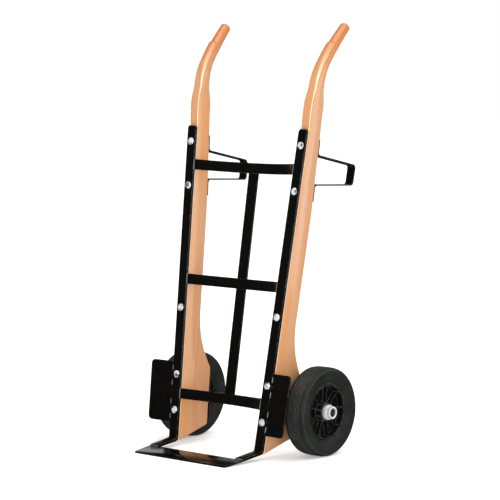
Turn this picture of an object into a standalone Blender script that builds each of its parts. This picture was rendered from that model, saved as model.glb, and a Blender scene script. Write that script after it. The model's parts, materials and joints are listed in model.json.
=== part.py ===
"""Two-wheeled hand truck: beech stiles on a welded flat-bar frame, with solid-tyred wheels.

Metres, +Z up. The load side faces -Y and the handles sweep back towards +Y. Left and right are
as seen from the load side, so left is -X. The origin is on the floor, under the middle of the
truck's bounding box.

The leaning frame is drawn in its own upright coordinates, on an empty that is tipped back:
x across, y (back) behind the front face of the rails, z (along) up the rails from the floor.
"""
import math

import bmesh
import bpy
from mathutils import Matrix, Vector

NAME = "hand_truck"
SIDES = (("left", -1), ("right", 1))
GAP = 0.0003

# Stance
LEAN = math.radians(8.18)          # the rails tip back from upright
SPLAY = 0.0510                     # the rails run outwards by this much per metre along them
FOOT_HALF = 0.1572                 # middle plane to a rail's centreline, at the floor
RAIL_FOOT_Y = -0.1067              # where the front face of the rails meets the floor

# Flat-bar frame
RAIL_WIDTH = 0.030
RAIL_THICK = 0.008
RAIL_TOP = 0.9225
RAIL_TOP_CORNER = 0.009
TOE_REACH = 0.148                  # toe edge ahead of the rails, along the floor
TOE_SLOPE = math.radians(6.0)      # the toe rises towards the heel
TOE_BEND_RADIUS = 0.010
BLADE_DEPTH = 0.073
BLADE_THICK = 0.005
BLADE_TAPER = 0.005                # how far each end of the blade draws in at its edge
BLADE_CORNER = 0.006
CROSSBAR_HEIGHT = 0.030
CROSSBAR_THICK = 0.005
CROSSBARS = {"bottom": (0.1527, 0.035), "middle": (0.4810, 0.040), "top": (0.8104, 0.045)}
STRAP_WIDTH = 0.035
STRAP_THICK = 0.005

# Guards in front of the tyres
GUARD_LOW = 0.069
GUARD_HIGH = 0.242
GUARD_OUT = 0.0875                 # outer edge from the rail's centreline
GUARD_SWEEP = 0.20                 # forward run of the guard per metre outwards
GUARD_THICK = 0.004
GUARD_CORNER = 0.012

# Beech stiles
STILE_THICK = 0.030
STILE_FRONT = RAIL_THICK + GAP
EASED_EDGE = 0.0030
BOSS_BACK = 0.130
NECK_SWELL = 0.0025                # the board comes forward by this much above the rails' tops
NECK_DEPTH = 0.0390
NECK_HEIGHT = 1.045
NECK_MIDDLE = STILE_FRONT + 0.0243
HANDLE_WIDTH = 0.0335
GRIP_START = 0.74                  # share of the handle's sweep where the grip steps in at its front
GRIP_START_DEPTH = 0.0365
GRIP_STEP = 0.0035
GRIP_END_DEPTH = 0.0325
GRIP_TIP = (0.1200, 1.2250)

# Through-bolts, M8
BOLT_HEIGHTS = {"top": 0.8764, "upper": 0.7489, "middle": 0.3979, "lower": 0.2065, "bottom": 0.1046}
BOLT_RADIUS = 0.004
HOLE_RADIUS = 0.0044
HEAD_RADIUS = 0.01025
HEAD_HEIGHT = 0.0052
BOLT_STEPS = 16
NUT_FLATS = 0.013
NUT_HEIGHT = 0.0065
NUT_SEAT = 0.0007                  # a nut stands off the slightly sloping flange
THREAD_END = 0.004
WASHER_THICK = 0.0016
WASHER_RADIUS = 0.0105

# Rest brackets behind the stiles
REST_THICK = 0.004
REST_WIDTH = 0.027
REST_BACK = 0.243                  # middle of the strap's rear leg, behind the rails' front face
REST_BEND_RADIUS = 0.010

# Axle and its carriers
WHEEL_RADIUS = 0.125
AXLE_REACH = 0.1757                # axle behind the rails' foot, along the floor
AXLE_RADIUS = 0.0125
AXLE_HALF = 0.285
CARRIER_THICK = 0.006
CARRIER_WIDTH = 0.030
CARRIER_SPAN = (0.085, 0.226)
CARRIER_LUG_RADIUS = 0.0195

# Wheels: distances along the axle are from the middle plane of the tyre, outwards positive
WHEEL_TRACK_HALF = 0.2422
TYRE_STEPS = 48
FITTING_STEPS = 32
RUNNING_GAP = 0.0002
TYRE_SEAT = 0.0770
RIM_LIP = 0.0804
RIM_HALF = 0.0222
RIM_WALL = 0.0034
HUB_INNER = -0.0380
HUB_OUTER = 0.0216
HUB_RADIUS = 0.0250
BUSH_RADIUS = 0.0155
WEB_HALF = 0.0030
RIB_COUNT = 9
RIB_PHASE = math.radians(13.5)
RIB_THICK = 0.0030
RIB_HALF = 0.0165
HUB_WASHER_RADIUS = 0.0210
WASHER_HEIGHT = 0.0048
COLLAR_RADIUS = 0.0175
COLLAR_LENGTH = 0.0125
SCREW_RADIUS = 0.0030
SPACER_RADIUS = 0.0170
SPACER_INNER = -0.0605

SIDE_ON = Matrix(((0, 0, 1, 0), (1, 0, 0, 0), (0, 1, 0, 0), (0, 0, 0, 1)))
FACE_ON = Matrix.Rotation(math.pi / 2, 4, "X")


# ---------------------------------------------------------------- scene and materials

def clear_scene():
    for obj in list(bpy.data.objects):
        bpy.data.objects.remove(obj, do_unlink=True)


def new_collection(name):
    collection = bpy.data.collections.new(name)
    bpy.context.scene.collection.children.link(collection)
    return collection


def shade_round(mesh):
    """Smooth shading across gentle bends, with crisp edges wherever faces meet sharply."""
    mesh.shade_smooth()
    mesh.set_sharp_from_angle(angle=math.radians(35))


def finish_material(name, colour, roughness, metallic=0.0):
    material = bpy.data.materials.new(name)
    material.use_nodes = True
    shader = material.node_tree.nodes["Principled BSDF"]
    shader.inputs["Base Color"].default_value = (*colour, 1.0)
    shader.inputs["Roughness"].default_value = roughness
    shader.inputs["Metallic"].default_value = metallic
    return material


def make_materials():
    return {
        "beech": finish_material("beech", (0.80, 0.47, 0.21), 0.42),
        "paint": finish_material("black_paint", (0.012, 0.012, 0.013), 0.22),
        "zinc": finish_material("zinc_steel", (0.74, 0.75, 0.78), 0.28, 1.0),
        "bar": finish_material("bar_steel", (0.42, 0.37, 0.32), 0.45, 1.0),
        "rubber": finish_material("rubber", (0.028, 0.031, 0.028), 0.75),
        "plastic": finish_material("black_plastic", (0.010, 0.010, 0.010), 0.40),
    }


def add_object(name, mesh, collection, parent, material):
    obj = bpy.data.objects.new(name, mesh)
    collection.objects.link(obj)
    obj.parent = parent
    if material:
        mesh.materials.clear()
        mesh.materials.append(material)
    return obj


def add_empty(name, collection, location, rotation):
    empty = bpy.data.objects.new(name, None)
    collection.objects.link(empty)
    empty.location = location
    empty.rotation_euler = rotation
    return empty


# ---------------------------------------------------------------- shapes

def arc(centre, radius, start, end, steps):
    """Points on an arc, from angle start to angle end in degrees."""
    angles = [math.radians(start + (end - start) * i / steps) for i in range(steps + 1)]
    return [(centre[0] + radius * math.cos(a), centre[1] + radius * math.sin(a)) for a in angles]


def rounded_path(corners, radius, steps=5):
    """An open path whose inner corners are rounded with arcs of the given radius."""
    points = [Vector(corners[0])]
    for before, corner, after in zip(corners, corners[1:], corners[2:]):
        corner = Vector(corner)
        inward = (Vector(before) - corner).normalized()
        onward = (Vector(after) - corner).normalized()
        half_angle = inward.angle(onward) / 2
        middle = corner + (inward + onward).normalized() * radius / math.sin(half_angle)
        first = corner + inward * radius / math.tan(half_angle) - middle
        last = corner + onward * radius / math.tan(half_angle) - middle
        turn = first.angle_signed(last)
        for i in range(steps + 1):
            points.append(middle + Matrix.Rotation(-turn * i / steps, 2) @ first)
    points.append(Vector(corners[-1]))
    return points


def strip_outline(path, thickness):
    """The closed outline of a bar of this thickness bent along a path through its middle."""
    left = []
    right = []
    for i, point in enumerate(path):
        ahead = (path[min(i + 1, len(path) - 1)] - point).normalized()
        behind = (point - path[max(i - 1, 0)]).normalized()
        along = (ahead + behind).normalized()
        mitre = max(along.dot(ahead), along.dot(behind))
        offset = Vector((-along.y, along.x)) * thickness / 2 / mitre
        left.append(point + offset)
        right.append(point - offset)
    return left + right[::-1]


def weld(mesh):
    """Merge the loose caps of a filled curve and turn every face outwards."""
    work = bmesh.new()
    work.from_mesh(mesh)
    bmesh.ops.remove_doubles(work, verts=work.verts, dist=1e-6)
    bmesh.ops.recalc_face_normals(work, faces=work.faces)
    work.to_mesh(mesh)
    work.free()
    shade_round(mesh)


def plate_mesh(name, outline, thickness):
    """A flat outline in x and y, thickened equally both ways along z."""
    curve = bpy.data.curves.new(name, "CURVE")
    curve.dimensions = "2D"
    curve.fill_mode = "BOTH"
    curve.extrude = thickness / 2
    spline = curve.splines.new("POLY")
    spline.points.add(len(outline) - 1)
    for point, (x, y) in zip(spline.points, outline):
        point.co = (x, y, 0, 1)
    spline.use_cyclic_u = True
    drawing = bpy.data.objects.new(name, curve)
    bpy.context.scene.collection.objects.link(drawing)
    mesh = bpy.data.meshes.new_from_object(drawing.evaluated_get(bpy.context.evaluated_depsgraph_get()))
    bpy.data.objects.remove(drawing)
    mesh.name = name
    weld(mesh)
    return mesh


def leaning(side, sweep=0.0):
    """Shear from an upright piece at x = 0 to its place on a splayed rail, swept forward if asked."""
    return Matrix(((1, 0, side * SPLAY, side * FOOT_HALF),
                   (-side * sweep, 1, 0, 0),
                   (0, 0, 1, 0),
                   (0, 0, 0, 1)))


def splayed_plate(name, side_outline, width, side):
    """A side-on outline of (back, along) points, made this wide and set on a splayed rail."""
    mesh = plate_mesh(name, side_outline, width)
    mesh.transform(leaning(side) @ SIDE_ON)
    return mesh


def turned_object(name, profile, steps, collection, parent, material, closed=True):
    """A profile of (radius, height) points turned about z, running down its outer side."""
    mesh = bpy.data.meshes.new(name)
    last = len(profile) - 1
    edges = [(i, i + 1) for i in range(last)] + ([(last, 0)] if closed else [])
    mesh.from_pydata([(r, 0, z) for r, z in profile], edges, [])
    obj = add_object(name, mesh, collection, parent, material)
    screw = obj.modifiers.new("turn", "SCREW")
    screw.axis = "Z"
    screw.angle = 2 * math.pi
    screw.steps = steps
    screw.render_steps = steps
    screw.use_merge_vertices = True
    screw.merge_threshold = 1e-6
    screw.use_smooth_shade = False
    return obj


def ring_profile(inner, outer, low, high):
    return [(inner, high), (outer, high), (outer, low), (inner, low)]


def baked_mesh(obj, name):
    """The finished mesh of an object with modifiers, for pieces that share it."""
    bpy.context.view_layer.update()
    mesh = bpy.data.meshes.new_from_object(obj.evaluated_get(bpy.context.evaluated_depsgraph_get()))
    mesh.name = name
    bpy.data.objects.remove(obj)
    return mesh


def cylinders_mesh(name, centres, radius, length, axis, steps=12):
    """Separate cylinders of one size and direction, to cut or join with."""
    work = bmesh.new()
    turn = Vector((0, 0, 1)).rotation_difference(Vector(axis)).to_matrix().to_4x4()
    for centre in centres:
        bmesh.ops.create_cone(work, cap_ends=True, segments=steps, radius1=radius, radius2=radius,
                              depth=length, matrix=Matrix.Translation(centre) @ turn)
    mesh = bpy.data.meshes.new(name)
    work.to_mesh(mesh)
    work.free()
    return mesh


def add_boolean(obj, operand, operation):
    modifier = obj.modifiers.new(operand.name, "BOOLEAN")
    modifier.operation = operation
    modifier.object = operand
    modifier.solver = "EXACT"


def add_cutter(name, mesh, cutters, parent):
    cutter = add_object(name, mesh, cutters, parent, None)
    cutter.hide_render = True
    cutter.display_type = "WIRE"
    return cutter


def loft_mesh(name, rings):
    """A closed skin through rings of equal point counts, each ring joined to the next."""
    count = len(rings[0])
    vertices = [point for ring in rings for point in ring]
    faces = [tuple(range(count))]
    for i in range(len(rings) - 1):
        base = i * count
        for j in range(count):
            k = (j + 1) % count
            faces.append((base + j, base + count + j, base + count + k, base + k))
    top = (len(rings) - 1) * count
    faces.append(tuple(range(top + count - 1, top - 1, -1)))
    mesh = bpy.data.meshes.new(name)
    mesh.from_pydata(vertices, [], faces)
    weld(mesh)
    return mesh


# ---------------------------------------------------------------- leaning-frame helpers

def to_frame(y, z):
    """(back, along) in the leaning frame of a point that far behind the rail foot and that high."""
    return (y * math.cos(LEAN) - z * math.sin(LEAN), y * math.sin(LEAN) + z * math.cos(LEAN))


def rail_x(side, along):
    return side * (FOOT_HALF + SPLAY * along)


def stile_back(along):
    """Back edge of the stile above its boss: straight, then easing in towards the handle."""
    straight_back = 0.0722
    taper_start = 0.700
    taper = 0.0442
    return straight_back - taper * max(0.0, along - taper_start)


AXLE_BACK, AXLE_ALONG = to_frame(AXLE_REACH, WHEEL_RADIUS)


# ---------------------------------------------------------------- steel frame

def toe_direction():
    """Unit vector (back, along) running forward down the toe."""
    angle = LEAN + TOE_SLOPE
    return Vector((-math.cos(angle), -math.sin(angle)))


def toe_edge():
    """The toe's front edge on the floor, in (back, along)."""
    return Vector(to_frame(-TOE_REACH, 0.0))


def toe_lift():
    """Unit vector (back, along) square to the toe, pointing up."""
    forward = toe_direction()
    return Vector((forward.y, -forward.x))


def make_rail(label, side, parts, cutters, frame, material):
    forward = toe_direction()
    middle = toe_edge() + toe_lift() * RAIL_THICK / 2
    heel = middle - forward * (RAIL_THICK / 2 - middle.x) / -forward.x
    bar_end = middle - forward * (BLADE_DEPTH + GAP)
    path = rounded_path([(RAIL_THICK / 2, RAIL_TOP), heel, bar_end], TOE_BEND_RADIUS)
    mesh = splayed_plate(f"{label}_rail", strip_outline(path, RAIL_THICK), RAIL_WIDTH, side)
    round_top_corners(mesh)
    rail = add_object(f"{label}_rail", mesh, parts, frame, material)
    holes = [(rail_x(side, s), RAIL_THICK / 2, s) for s in BOLT_HEIGHTS.values()]
    drill = cylinders_mesh(f"{label}_rail_holes", holes, HOLE_RADIUS, RAIL_THICK * 3, (0, 1, 0))
    add_boolean(rail, add_cutter(f"{label}_rail_holes", drill, cutters, frame), "DIFFERENCE")


def round_top_corners(mesh):
    """Round the two corners of the rail's top end, by bevelling their front-to-back edges."""
    work = bmesh.new()
    work.from_mesh(mesh)
    corners = [edge for edge in work.edges
               if min(v.co.z for v in edge.verts) > RAIL_TOP - 1e-5
               and abs(edge.verts[0].co.y - edge.verts[1].co.y) > RAIL_THICK / 2]
    corners = [edge for edge in corners if abs(edge.verts[0].co.x - edge.verts[1].co.x) < 1e-5]
    bmesh.ops.bevel(work, geom=corners, offset=RAIL_TOP_CORNER, segments=6, profile=0.5,
                    affect="EDGES", offset_type="OFFSET")
    bmesh.ops.recalc_face_normals(work, faces=work.faces)
    work.to_mesh(mesh)
    work.free()


def make_toe_plate(parts, frame, material):
    """The blade across the toe, drawn in a little towards its edge, lying in the toe's slope."""
    half = FOOT_HALF + RAIL_WIDTH / 2
    edge_half = half - BLADE_TAPER
    corners = [(-half, BLADE_DEPTH), (-edge_half, 0), (edge_half, 0), (half, BLADE_DEPTH)]
    mesh = plate_mesh("toe_plate", rounded_path(corners, BLADE_CORNER, 3), BLADE_THICK)
    middle = toe_edge() + toe_lift() * BLADE_THICK / 2
    slope = Matrix.Rotation(LEAN + TOE_SLOPE, 4, "X")
    mesh.transform(Matrix.Translation((0, middle.x, middle.y)) @ slope)
    add_object("toe_plate", mesh, parts, frame, material)


def make_crossbar(label, along, bow, parts, frame, material):
    """A bar bowed backwards between the rails, its ends trimmed to their splay."""
    half = rail_x(1, along) - RAIL_WIDTH / 2 - GAP
    radius = (half ** 2 + bow ** 2) / (2 * bow)
    reach = math.degrees(math.asin(half / radius))
    start = RAIL_THICK / 2
    middle = (0, start + bow - radius)
    path = [Vector(p) for p in arc(middle, radius, 90 + reach, 90 - reach, 12)]
    mesh = plate_mesh(f"{label}_crossbar", strip_outline(path, CROSSBAR_THICK), CROSSBAR_HEIGHT)
    for vertex in mesh.vertices:
        if abs(vertex.co.x) > half - CROSSBAR_THICK / 2:
            vertex.co.x = math.copysign(half, vertex.co.x)
        vertex.co.x *= 1 + SPLAY * vertex.co.z / half
        vertex.co.z += along
    add_object(f"{label}_crossbar", mesh, parts, frame, material)


def make_centre_strap(parts, frame, material):
    """The upright strap behind the crossbars, from the bottom one to the top one."""
    low_along, low_bow = CROSSBARS["bottom"]
    high_along, high_bow = CROSSBARS["top"]
    touch = RAIL_THICK / 2 + CROSSBAR_THICK / 2 + GAP + STRAP_THICK / 2
    low = Vector((touch + low_bow, low_along))
    high = Vector((touch + high_bow, high_along))
    run = (high - low).normalized() * CROSSBAR_HEIGHT / 2
    outline = strip_outline([low - run, high + run], STRAP_THICK)
    mesh = plate_mesh("centre_strap", outline, STRAP_WIDTH)
    mesh.transform(SIDE_ON)
    add_object("centre_strap", mesh, parts, frame, material)


def make_guard(label, side, parts, frame, material):
    """The plate in front of a tyre, welded to the rail's outer edge and swept forward."""
    inner = RAIL_WIDTH / 2 + GAP
    outer = GUARD_OUT
    r = GUARD_CORNER
    outline = [(inner, GUARD_LOW)]
    outline += arc((outer - r, GUARD_LOW + r), r, -90, 0, 4)
    outline += arc((outer - r, GUARD_HIGH - r), r, 0, 90, 4)
    outline += [(inner, GUARD_HIGH)]
    mesh = plate_mesh(f"{label}_wheel_guard", [(side * x, y) for x, y in outline], GUARD_THICK)
    to_rail = Matrix.Translation((0, RAIL_THICK / 2 + GUARD_SWEEP * inner, 0))
    mesh.transform(to_rail @ leaning(side, GUARD_SWEEP) @ FACE_ON)
    weld(mesh)
    add_object(f"{label}_wheel_guard", mesh, parts, frame, material)


def make_rest_bracket(label, side, parts, cutters, frame, material):
    """The bent strap behind a stile that the truck lies back on, bolted on by its two flanges."""
    seat = GAP + REST_THICK / 2
    corners = [(stile_back(0.901) + seat, 0.901), (stile_back(0.857) + seat, 0.857),
               (REST_BACK, 0.848), (REST_BACK, 0.792),
               (stile_back(0.774) + seat, 0.774), (stile_back(0.727) + seat, 0.727)]
    path = rounded_path(corners, REST_BEND_RADIUS, 4)
    mesh = splayed_plate(f"{label}_rest_bracket", strip_outline(path, REST_THICK), REST_WIDTH, side)
    bracket = add_object(f"{label}_rest_bracket", mesh, parts, frame, material)
    heights = (BOLT_HEIGHTS["top"], BOLT_HEIGHTS["upper"])
    holes = [(rail_x(side, s), stile_back(s), s) for s in heights]
    drill = cylinders_mesh(f"{label}_bracket_holes", holes, HOLE_RADIUS, 0.030, (0, 1, 0))
    add_boolean(bracket, add_cutter(f"{label}_bracket_holes", drill, cutters, frame), "DIFFERENCE")


def make_axle_carrier(label, side, parts, cutters, frame, material):
    """A flange on the boss's back edge with a lug that holds the axle."""
    face = BOSS_BACK + GAP
    back = face + CARRIER_THICK
    low, high = CARRIER_SPAN
    centre = (AXLE_BACK, AXLE_ALONG)
    lug = arc(centre, CARRIER_LUG_RADIUS, -90, 90, 12)
    outline = [(face, low), (back, low), (back, AXLE_ALONG - CARRIER_LUG_RADIUS - 0.008)]
    outline += [(back + 0.008, AXLE_ALONG - CARRIER_LUG_RADIUS)] + lug
    outline += [(back + 0.008, AXLE_ALONG + CARRIER_LUG_RADIUS)]
    outline += [(back, AXLE_ALONG + CARRIER_LUG_RADIUS + 0.008), (back, high), (face, high)]
    name = f"{label}_axle_carrier"
    mesh = splayed_plate(name, outline, CARRIER_WIDTH, side)
    carrier = add_object(name, mesh, parts, frame, material)
    x = rail_x(side, AXLE_ALONG)
    bore = cylinders_mesh(f"{name}_bore", [(x, *centre)], AXLE_RADIUS + GAP, 0.06, (1, 0, 0),
                          FITTING_STEPS)
    add_boolean(carrier, add_cutter(f"{name}_bore", bore, cutters, frame), "DIFFERENCE")
    heights = (BOLT_HEIGHTS["lower"], BOLT_HEIGHTS["bottom"])
    holes = [(rail_x(side, s), back, s) for s in heights]
    drill = cylinders_mesh(f"{name}_holes", holes, HOLE_RADIUS, 0.030, (0, 1, 0))
    add_boolean(carrier, add_cutter(f"{name}_holes", drill, cutters, frame), "DIFFERENCE")


# ---------------------------------------------------------------- beech stiles

def section_ring(front, back, width, corner, side, steps=3):
    """A rounded rectangle standing on the side-on line from a front point to a back point."""
    front = Vector(front)
    back = Vector(back)
    depth = (back - front).length
    along = (back - front).normalized()
    ring = []
    for quarter, (sign_d, sign_w) in enumerate(((1, 1), (-1, 1), (-1, -1), (1, -1))):
        d0 = sign_d * (depth / 2 - corner)
        w0 = sign_w * (width / 2 - corner)
        for d, w in arc((d0, w0), corner, quarter * 90, quarter * 90 + 90, steps):
            point = (front + back) / 2 + along * d
            ring.append((rail_x(side, point.y) + w, point.x, point.y))
    return ring


def handle_point(t):
    """Centre of the handle (back, along) from the neck, t = 0, to the grip's end, t = 1."""
    neck = Vector((NECK_MIDDLE, NECK_HEIGHT))
    end = Vector(GRIP_TIP)
    rise = neck + Vector((0, 0.050))
    sweep = end + Vector((-0.0649, -0.0891))
    u = 1 - t
    return neck * u ** 3 + rise * 3 * u * u * t + sweep * 3 * u * t * t + end * t ** 3


def handle_edges(t):
    """Front and back (back, along) of the handle: a tapering sweep, its grip stepped in at the front."""
    run = (handle_point(min(1, t + 0.01)) - handle_point(t - 0.01)).normalized()
    square = Vector((run.y, -run.x))
    if t < GRIP_START:
        depth = NECK_DEPTH + (GRIP_START_DEPTH - NECK_DEPTH) * t / GRIP_START
        step = 0.0
    else:
        share = (t - GRIP_START) / (1 - GRIP_START)
        depth = GRIP_START_DEPTH + (GRIP_END_DEPTH - GRIP_START_DEPTH) * share
        step = GRIP_STEP
    centre = handle_point(t)
    return centre - square * (depth / 2 - step), centre + square * depth / 2


def handle_rings(side, steps=10):
    """The round handle, thinning to its end and closed with a dome."""
    rings = []
    even = [i / steps for i in range(1, steps + 1)]
    for t in sorted(even + [GRIP_START - 0.003, GRIP_START + 0.024]):
        front, back = handle_edges(t)
        depth = (back - front).length
        spread = min(1.0, t / 0.3)
        width = min(depth, STILE_THICK + (HANDLE_WIDTH - STILE_THICK) * spread)
        corner = min(depth, width) / 2 * min(1.0, 0.62 + t) * 0.999
        rings.append(section_ring(front, back, width, corner, side))
    middle = (front + back) / 2
    across = (back - front) / 2
    rise = Vector((-across.y, across.x)) * 0.60
    for angle in (30, 55, 78):
        tip = middle + rise * math.sin(math.radians(angle))
        half = across * math.cos(math.radians(angle))
        rings.append(section_ring(tip - half, tip + half, half.length * 2, half.length * 0.999, side))
    return rings


def board_rings(side):
    """The flat board: slanted foot, deep boss at the axle, shoulder, shank and neck."""
    front = STILE_FRONT
    neck = handle_point(0)
    outline = [((front, 0.017), (BOSS_BACK, 0.067), EASED_EDGE),
               ((front, 0.232), (BOSS_BACK, 0.232), EASED_EDGE),
               ((front, 0.285), (0.091, 0.285), EASED_EDGE),
               ((front, 0.299), (0.0855, 0.299), EASED_EDGE),
               ((front, 0.317), (0.0795, 0.317), EASED_EDGE),
               ((front, 0.341), (0.0750, 0.341), EASED_EDGE),
               ((front, 0.380), (stile_back(0.380), 0.380), EASED_EDGE),
               ((front, 0.700), (stile_back(0.700), 0.700), EASED_EDGE),
               ((front, 0.928), (stile_back(0.928), 0.928), EASED_EDGE),
               ((front - NECK_SWELL, 0.955), (stile_back(0.955), 0.955), EASED_EDGE),
               ((front - NECK_SWELL, 0.990), (stile_back(0.990), 0.990), EASED_EDGE),
               ((front, 1.012), (0.0552, 1.012), 0.0050),
               ((neck.x - NECK_DEPTH / 2, neck.y), (neck.x + NECK_DEPTH / 2, neck.y), 0.0088)]
    return [section_ring(f, b, STILE_THICK, corner, side) for f, b, corner in outline]


def make_stile(label, side, parts, cutters, frame, material):
    mesh = loft_mesh(f"{label}_stile", board_rings(side) + handle_rings(side))
    stile = add_object(f"{label}_stile", mesh, parts, frame, material)
    holes = [(rail_x(side, s), BOSS_BACK / 2, s) for s in BOLT_HEIGHTS.values()]
    drill = cylinders_mesh(f"{label}_stile_holes", holes, HOLE_RADIUS, BOSS_BACK * 2, (0, 1, 0))
    add_boolean(stile, add_cutter(f"{label}_stile_holes", drill, cutters, frame), "DIFFERENCE")


# ---------------------------------------------------------------- bolts and nuts

def clamped_depth(place):
    """How far behind the rail's front face the last clamped surface lies at a bolt."""
    along = BOLT_HEIGHTS[place]
    if place in ("top", "upper"):
        return stile_back(along) + GAP + REST_THICK
    if place == "middle":
        return stile_back(along) + GAP + WASHER_THICK
    return BOSS_BACK + GAP + CARRIER_THICK


def bolt_profile(length):
    """Mushroom head over a plain shank."""
    flat_rim = 0.0012
    dome = (HEAD_RADIUS ** 2 + (HEAD_HEIGHT - flat_rim) ** 2) / (2 * (HEAD_HEIGHT - flat_rim))
    reach = math.degrees(math.asin(HEAD_RADIUS / dome))
    head = arc((0, HEAD_HEIGHT - dome), dome, 90, 90 - reach, 2)
    head[0] = (0, HEAD_HEIGHT)
    return head + [(HEAD_RADIUS, 0), (BOLT_RADIUS, 0), (BOLT_RADIUS, -length), (0, -length)]


def make_bolts(label, side, parts, frame, material):
    for place, along in BOLT_HEIGHTS.items():
        length = clamped_depth(place) + NUT_SEAT + NUT_HEIGHT + THREAD_END
        name = f"{label}_{place}_bolt"
        bolt = turned_object(name, bolt_profile(length), BOLT_STEPS, parts, frame, material, closed=False)
        bolt.location = (rail_x(side, along), -GAP, along)
        bolt.rotation_euler = (math.pi / 2, 0, 0)


def nut_mesh(cutters):
    """A hexagon with a round hole, its middle at the origin."""
    work = bmesh.new()
    corner_radius = NUT_FLATS / math.sqrt(3)
    bmesh.ops.create_cone(work, cap_ends=True, segments=6, radius1=corner_radius,
                          radius2=corner_radius, depth=NUT_HEIGHT)
    mesh = bpy.data.meshes.new("nut_blank")
    work.to_mesh(mesh)
    work.free()
    blank = add_object("nut_blank", mesh, cutters, None, None)
    drill = cylinders_mesh("nut_hole", [(0, 0, 0)], HOLE_RADIUS, NUT_HEIGHT * 2, (0, 0, 1))
    add_boolean(blank, add_cutter("nut_hole", drill, cutters, None), "DIFFERENCE")
    return baked_mesh(blank, "nut")


def make_nuts(label, side, parts, frame, mesh, material):
    for place, along in BOLT_HEIGHTS.items():
        nut = add_object(f"{label}_{place}_nut", mesh, parts, frame, material)
        back = clamped_depth(place) + NUT_SEAT + NUT_HEIGHT / 2
        nut.location = (rail_x(side, along), back, along)
        nut.rotation_euler = (math.pi / 2, 0, 0)
    along = BOLT_HEIGHTS["middle"]
    profile = ring_profile(HOLE_RADIUS, WASHER_RADIUS, -WASHER_THICK / 2, WASHER_THICK / 2)
    washer = turned_object(f"{label}_bolt_washer", profile, BOLT_STEPS, parts, frame, material)
    washer.location = (rail_x(side, along), stile_back(along) + GAP * 2 + WASHER_THICK / 2, along)
    washer.rotation_euler = (math.pi / 2, 0, 0)


# ---------------------------------------------------------------- wheels and axle

def tyre_profile():
    """Solid tyre section: narrow at the rim, full at the shoulders, nearly flat tread."""
    half = [(TYRE_SEAT, 0.0190), (TYRE_SEAT, 0.0215), (RIM_LIP + 0.0006, 0.0228),
            (0.0900, 0.0300), (0.1090, 0.0335)]
    half += [(r, z) for z, r in arc((0.0225, 0.1140), 0.0105, 20, 70, 2)]
    half += [(WHEEL_RADIUS, 0.0180)]
    return half + [(r, -z) for r, z in reversed(half)]


def ribs_mesh(name, low, high):
    """Straight ribs from the hub out to the rim, between two levels along the axle."""
    inner = HUB_RADIUS - 0.001
    outer = TYRE_SEAT - GAP - RIM_WALL - GAP
    work = bmesh.new()
    for i in range(RIB_COUNT):
        turn = Matrix.Rotation(RIB_PHASE + 2 * math.pi * i / RIB_COUNT, 4, "Z")
        place = Matrix.Translation(((inner + outer) / 2, 0, (low + high) / 2))
        size = Matrix.Diagonal((outer - inner, RIB_THICK, high - low, 1))
        bmesh.ops.create_cube(work, size=1.0, matrix=turn @ place @ size)
    mesh = bpy.data.meshes.new(name)
    work.to_mesh(mesh)
    work.free()
    return mesh


def make_spokes(name, rib_levels, hub_levels, hub, parts, cutters, material):
    """Half of the moulded hub with the ribs that stand out from it on its side of the web."""
    profile = ring_profile(BUSH_RADIUS + GAP, HUB_RADIUS, *hub_levels)
    spokes = turned_object(name, profile, FITTING_STEPS, parts, hub, material)
    ribs = add_cutter(f"{name}_ribs", ribs_mesh(f"{name}_ribs", *rib_levels), cutters, hub)
    add_boolean(spokes, ribs, "UNION")


def make_wheel(label, hub, parts, cutters, materials):
    """Tyre, rim ring, web and the spokes either side of it, and the bush they turn on."""
    plastic = materials["plastic"]
    seat = TYRE_SEAT - GAP
    wall = seat - RIM_WALL
    face = WEB_HALF + GAP
    turned_object(f"{label}_tyre", tyre_profile(), TYRE_STEPS, parts, hub, materials["rubber"])
    rim = ring_profile(wall, seat, -RIM_HALF, RIM_HALF)
    turned_object(f"{label}_rim", rim, TYRE_STEPS, parts, hub, plastic)
    web = ring_profile(BUSH_RADIUS + GAP, wall - GAP, -WEB_HALF, WEB_HALF)
    turned_object(f"{label}_web", web, FITTING_STEPS, parts, hub, plastic)
    make_spokes(f"{label}_outer_spokes", (face, RIB_HALF), (face, HUB_OUTER), hub, parts, cutters, plastic)
    make_spokes(f"{label}_inner_spokes", (-RIB_HALF, -face), (HUB_INNER, -face), hub, parts, cutters,
                plastic)
    bore = AXLE_RADIUS + RUNNING_GAP
    bush = ring_profile(bore, BUSH_RADIUS, HUB_INNER, HUB_OUTER)
    turned_object(f"{label}_bush", bush, FITTING_STEPS, parts, hub, materials["bar"])


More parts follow.
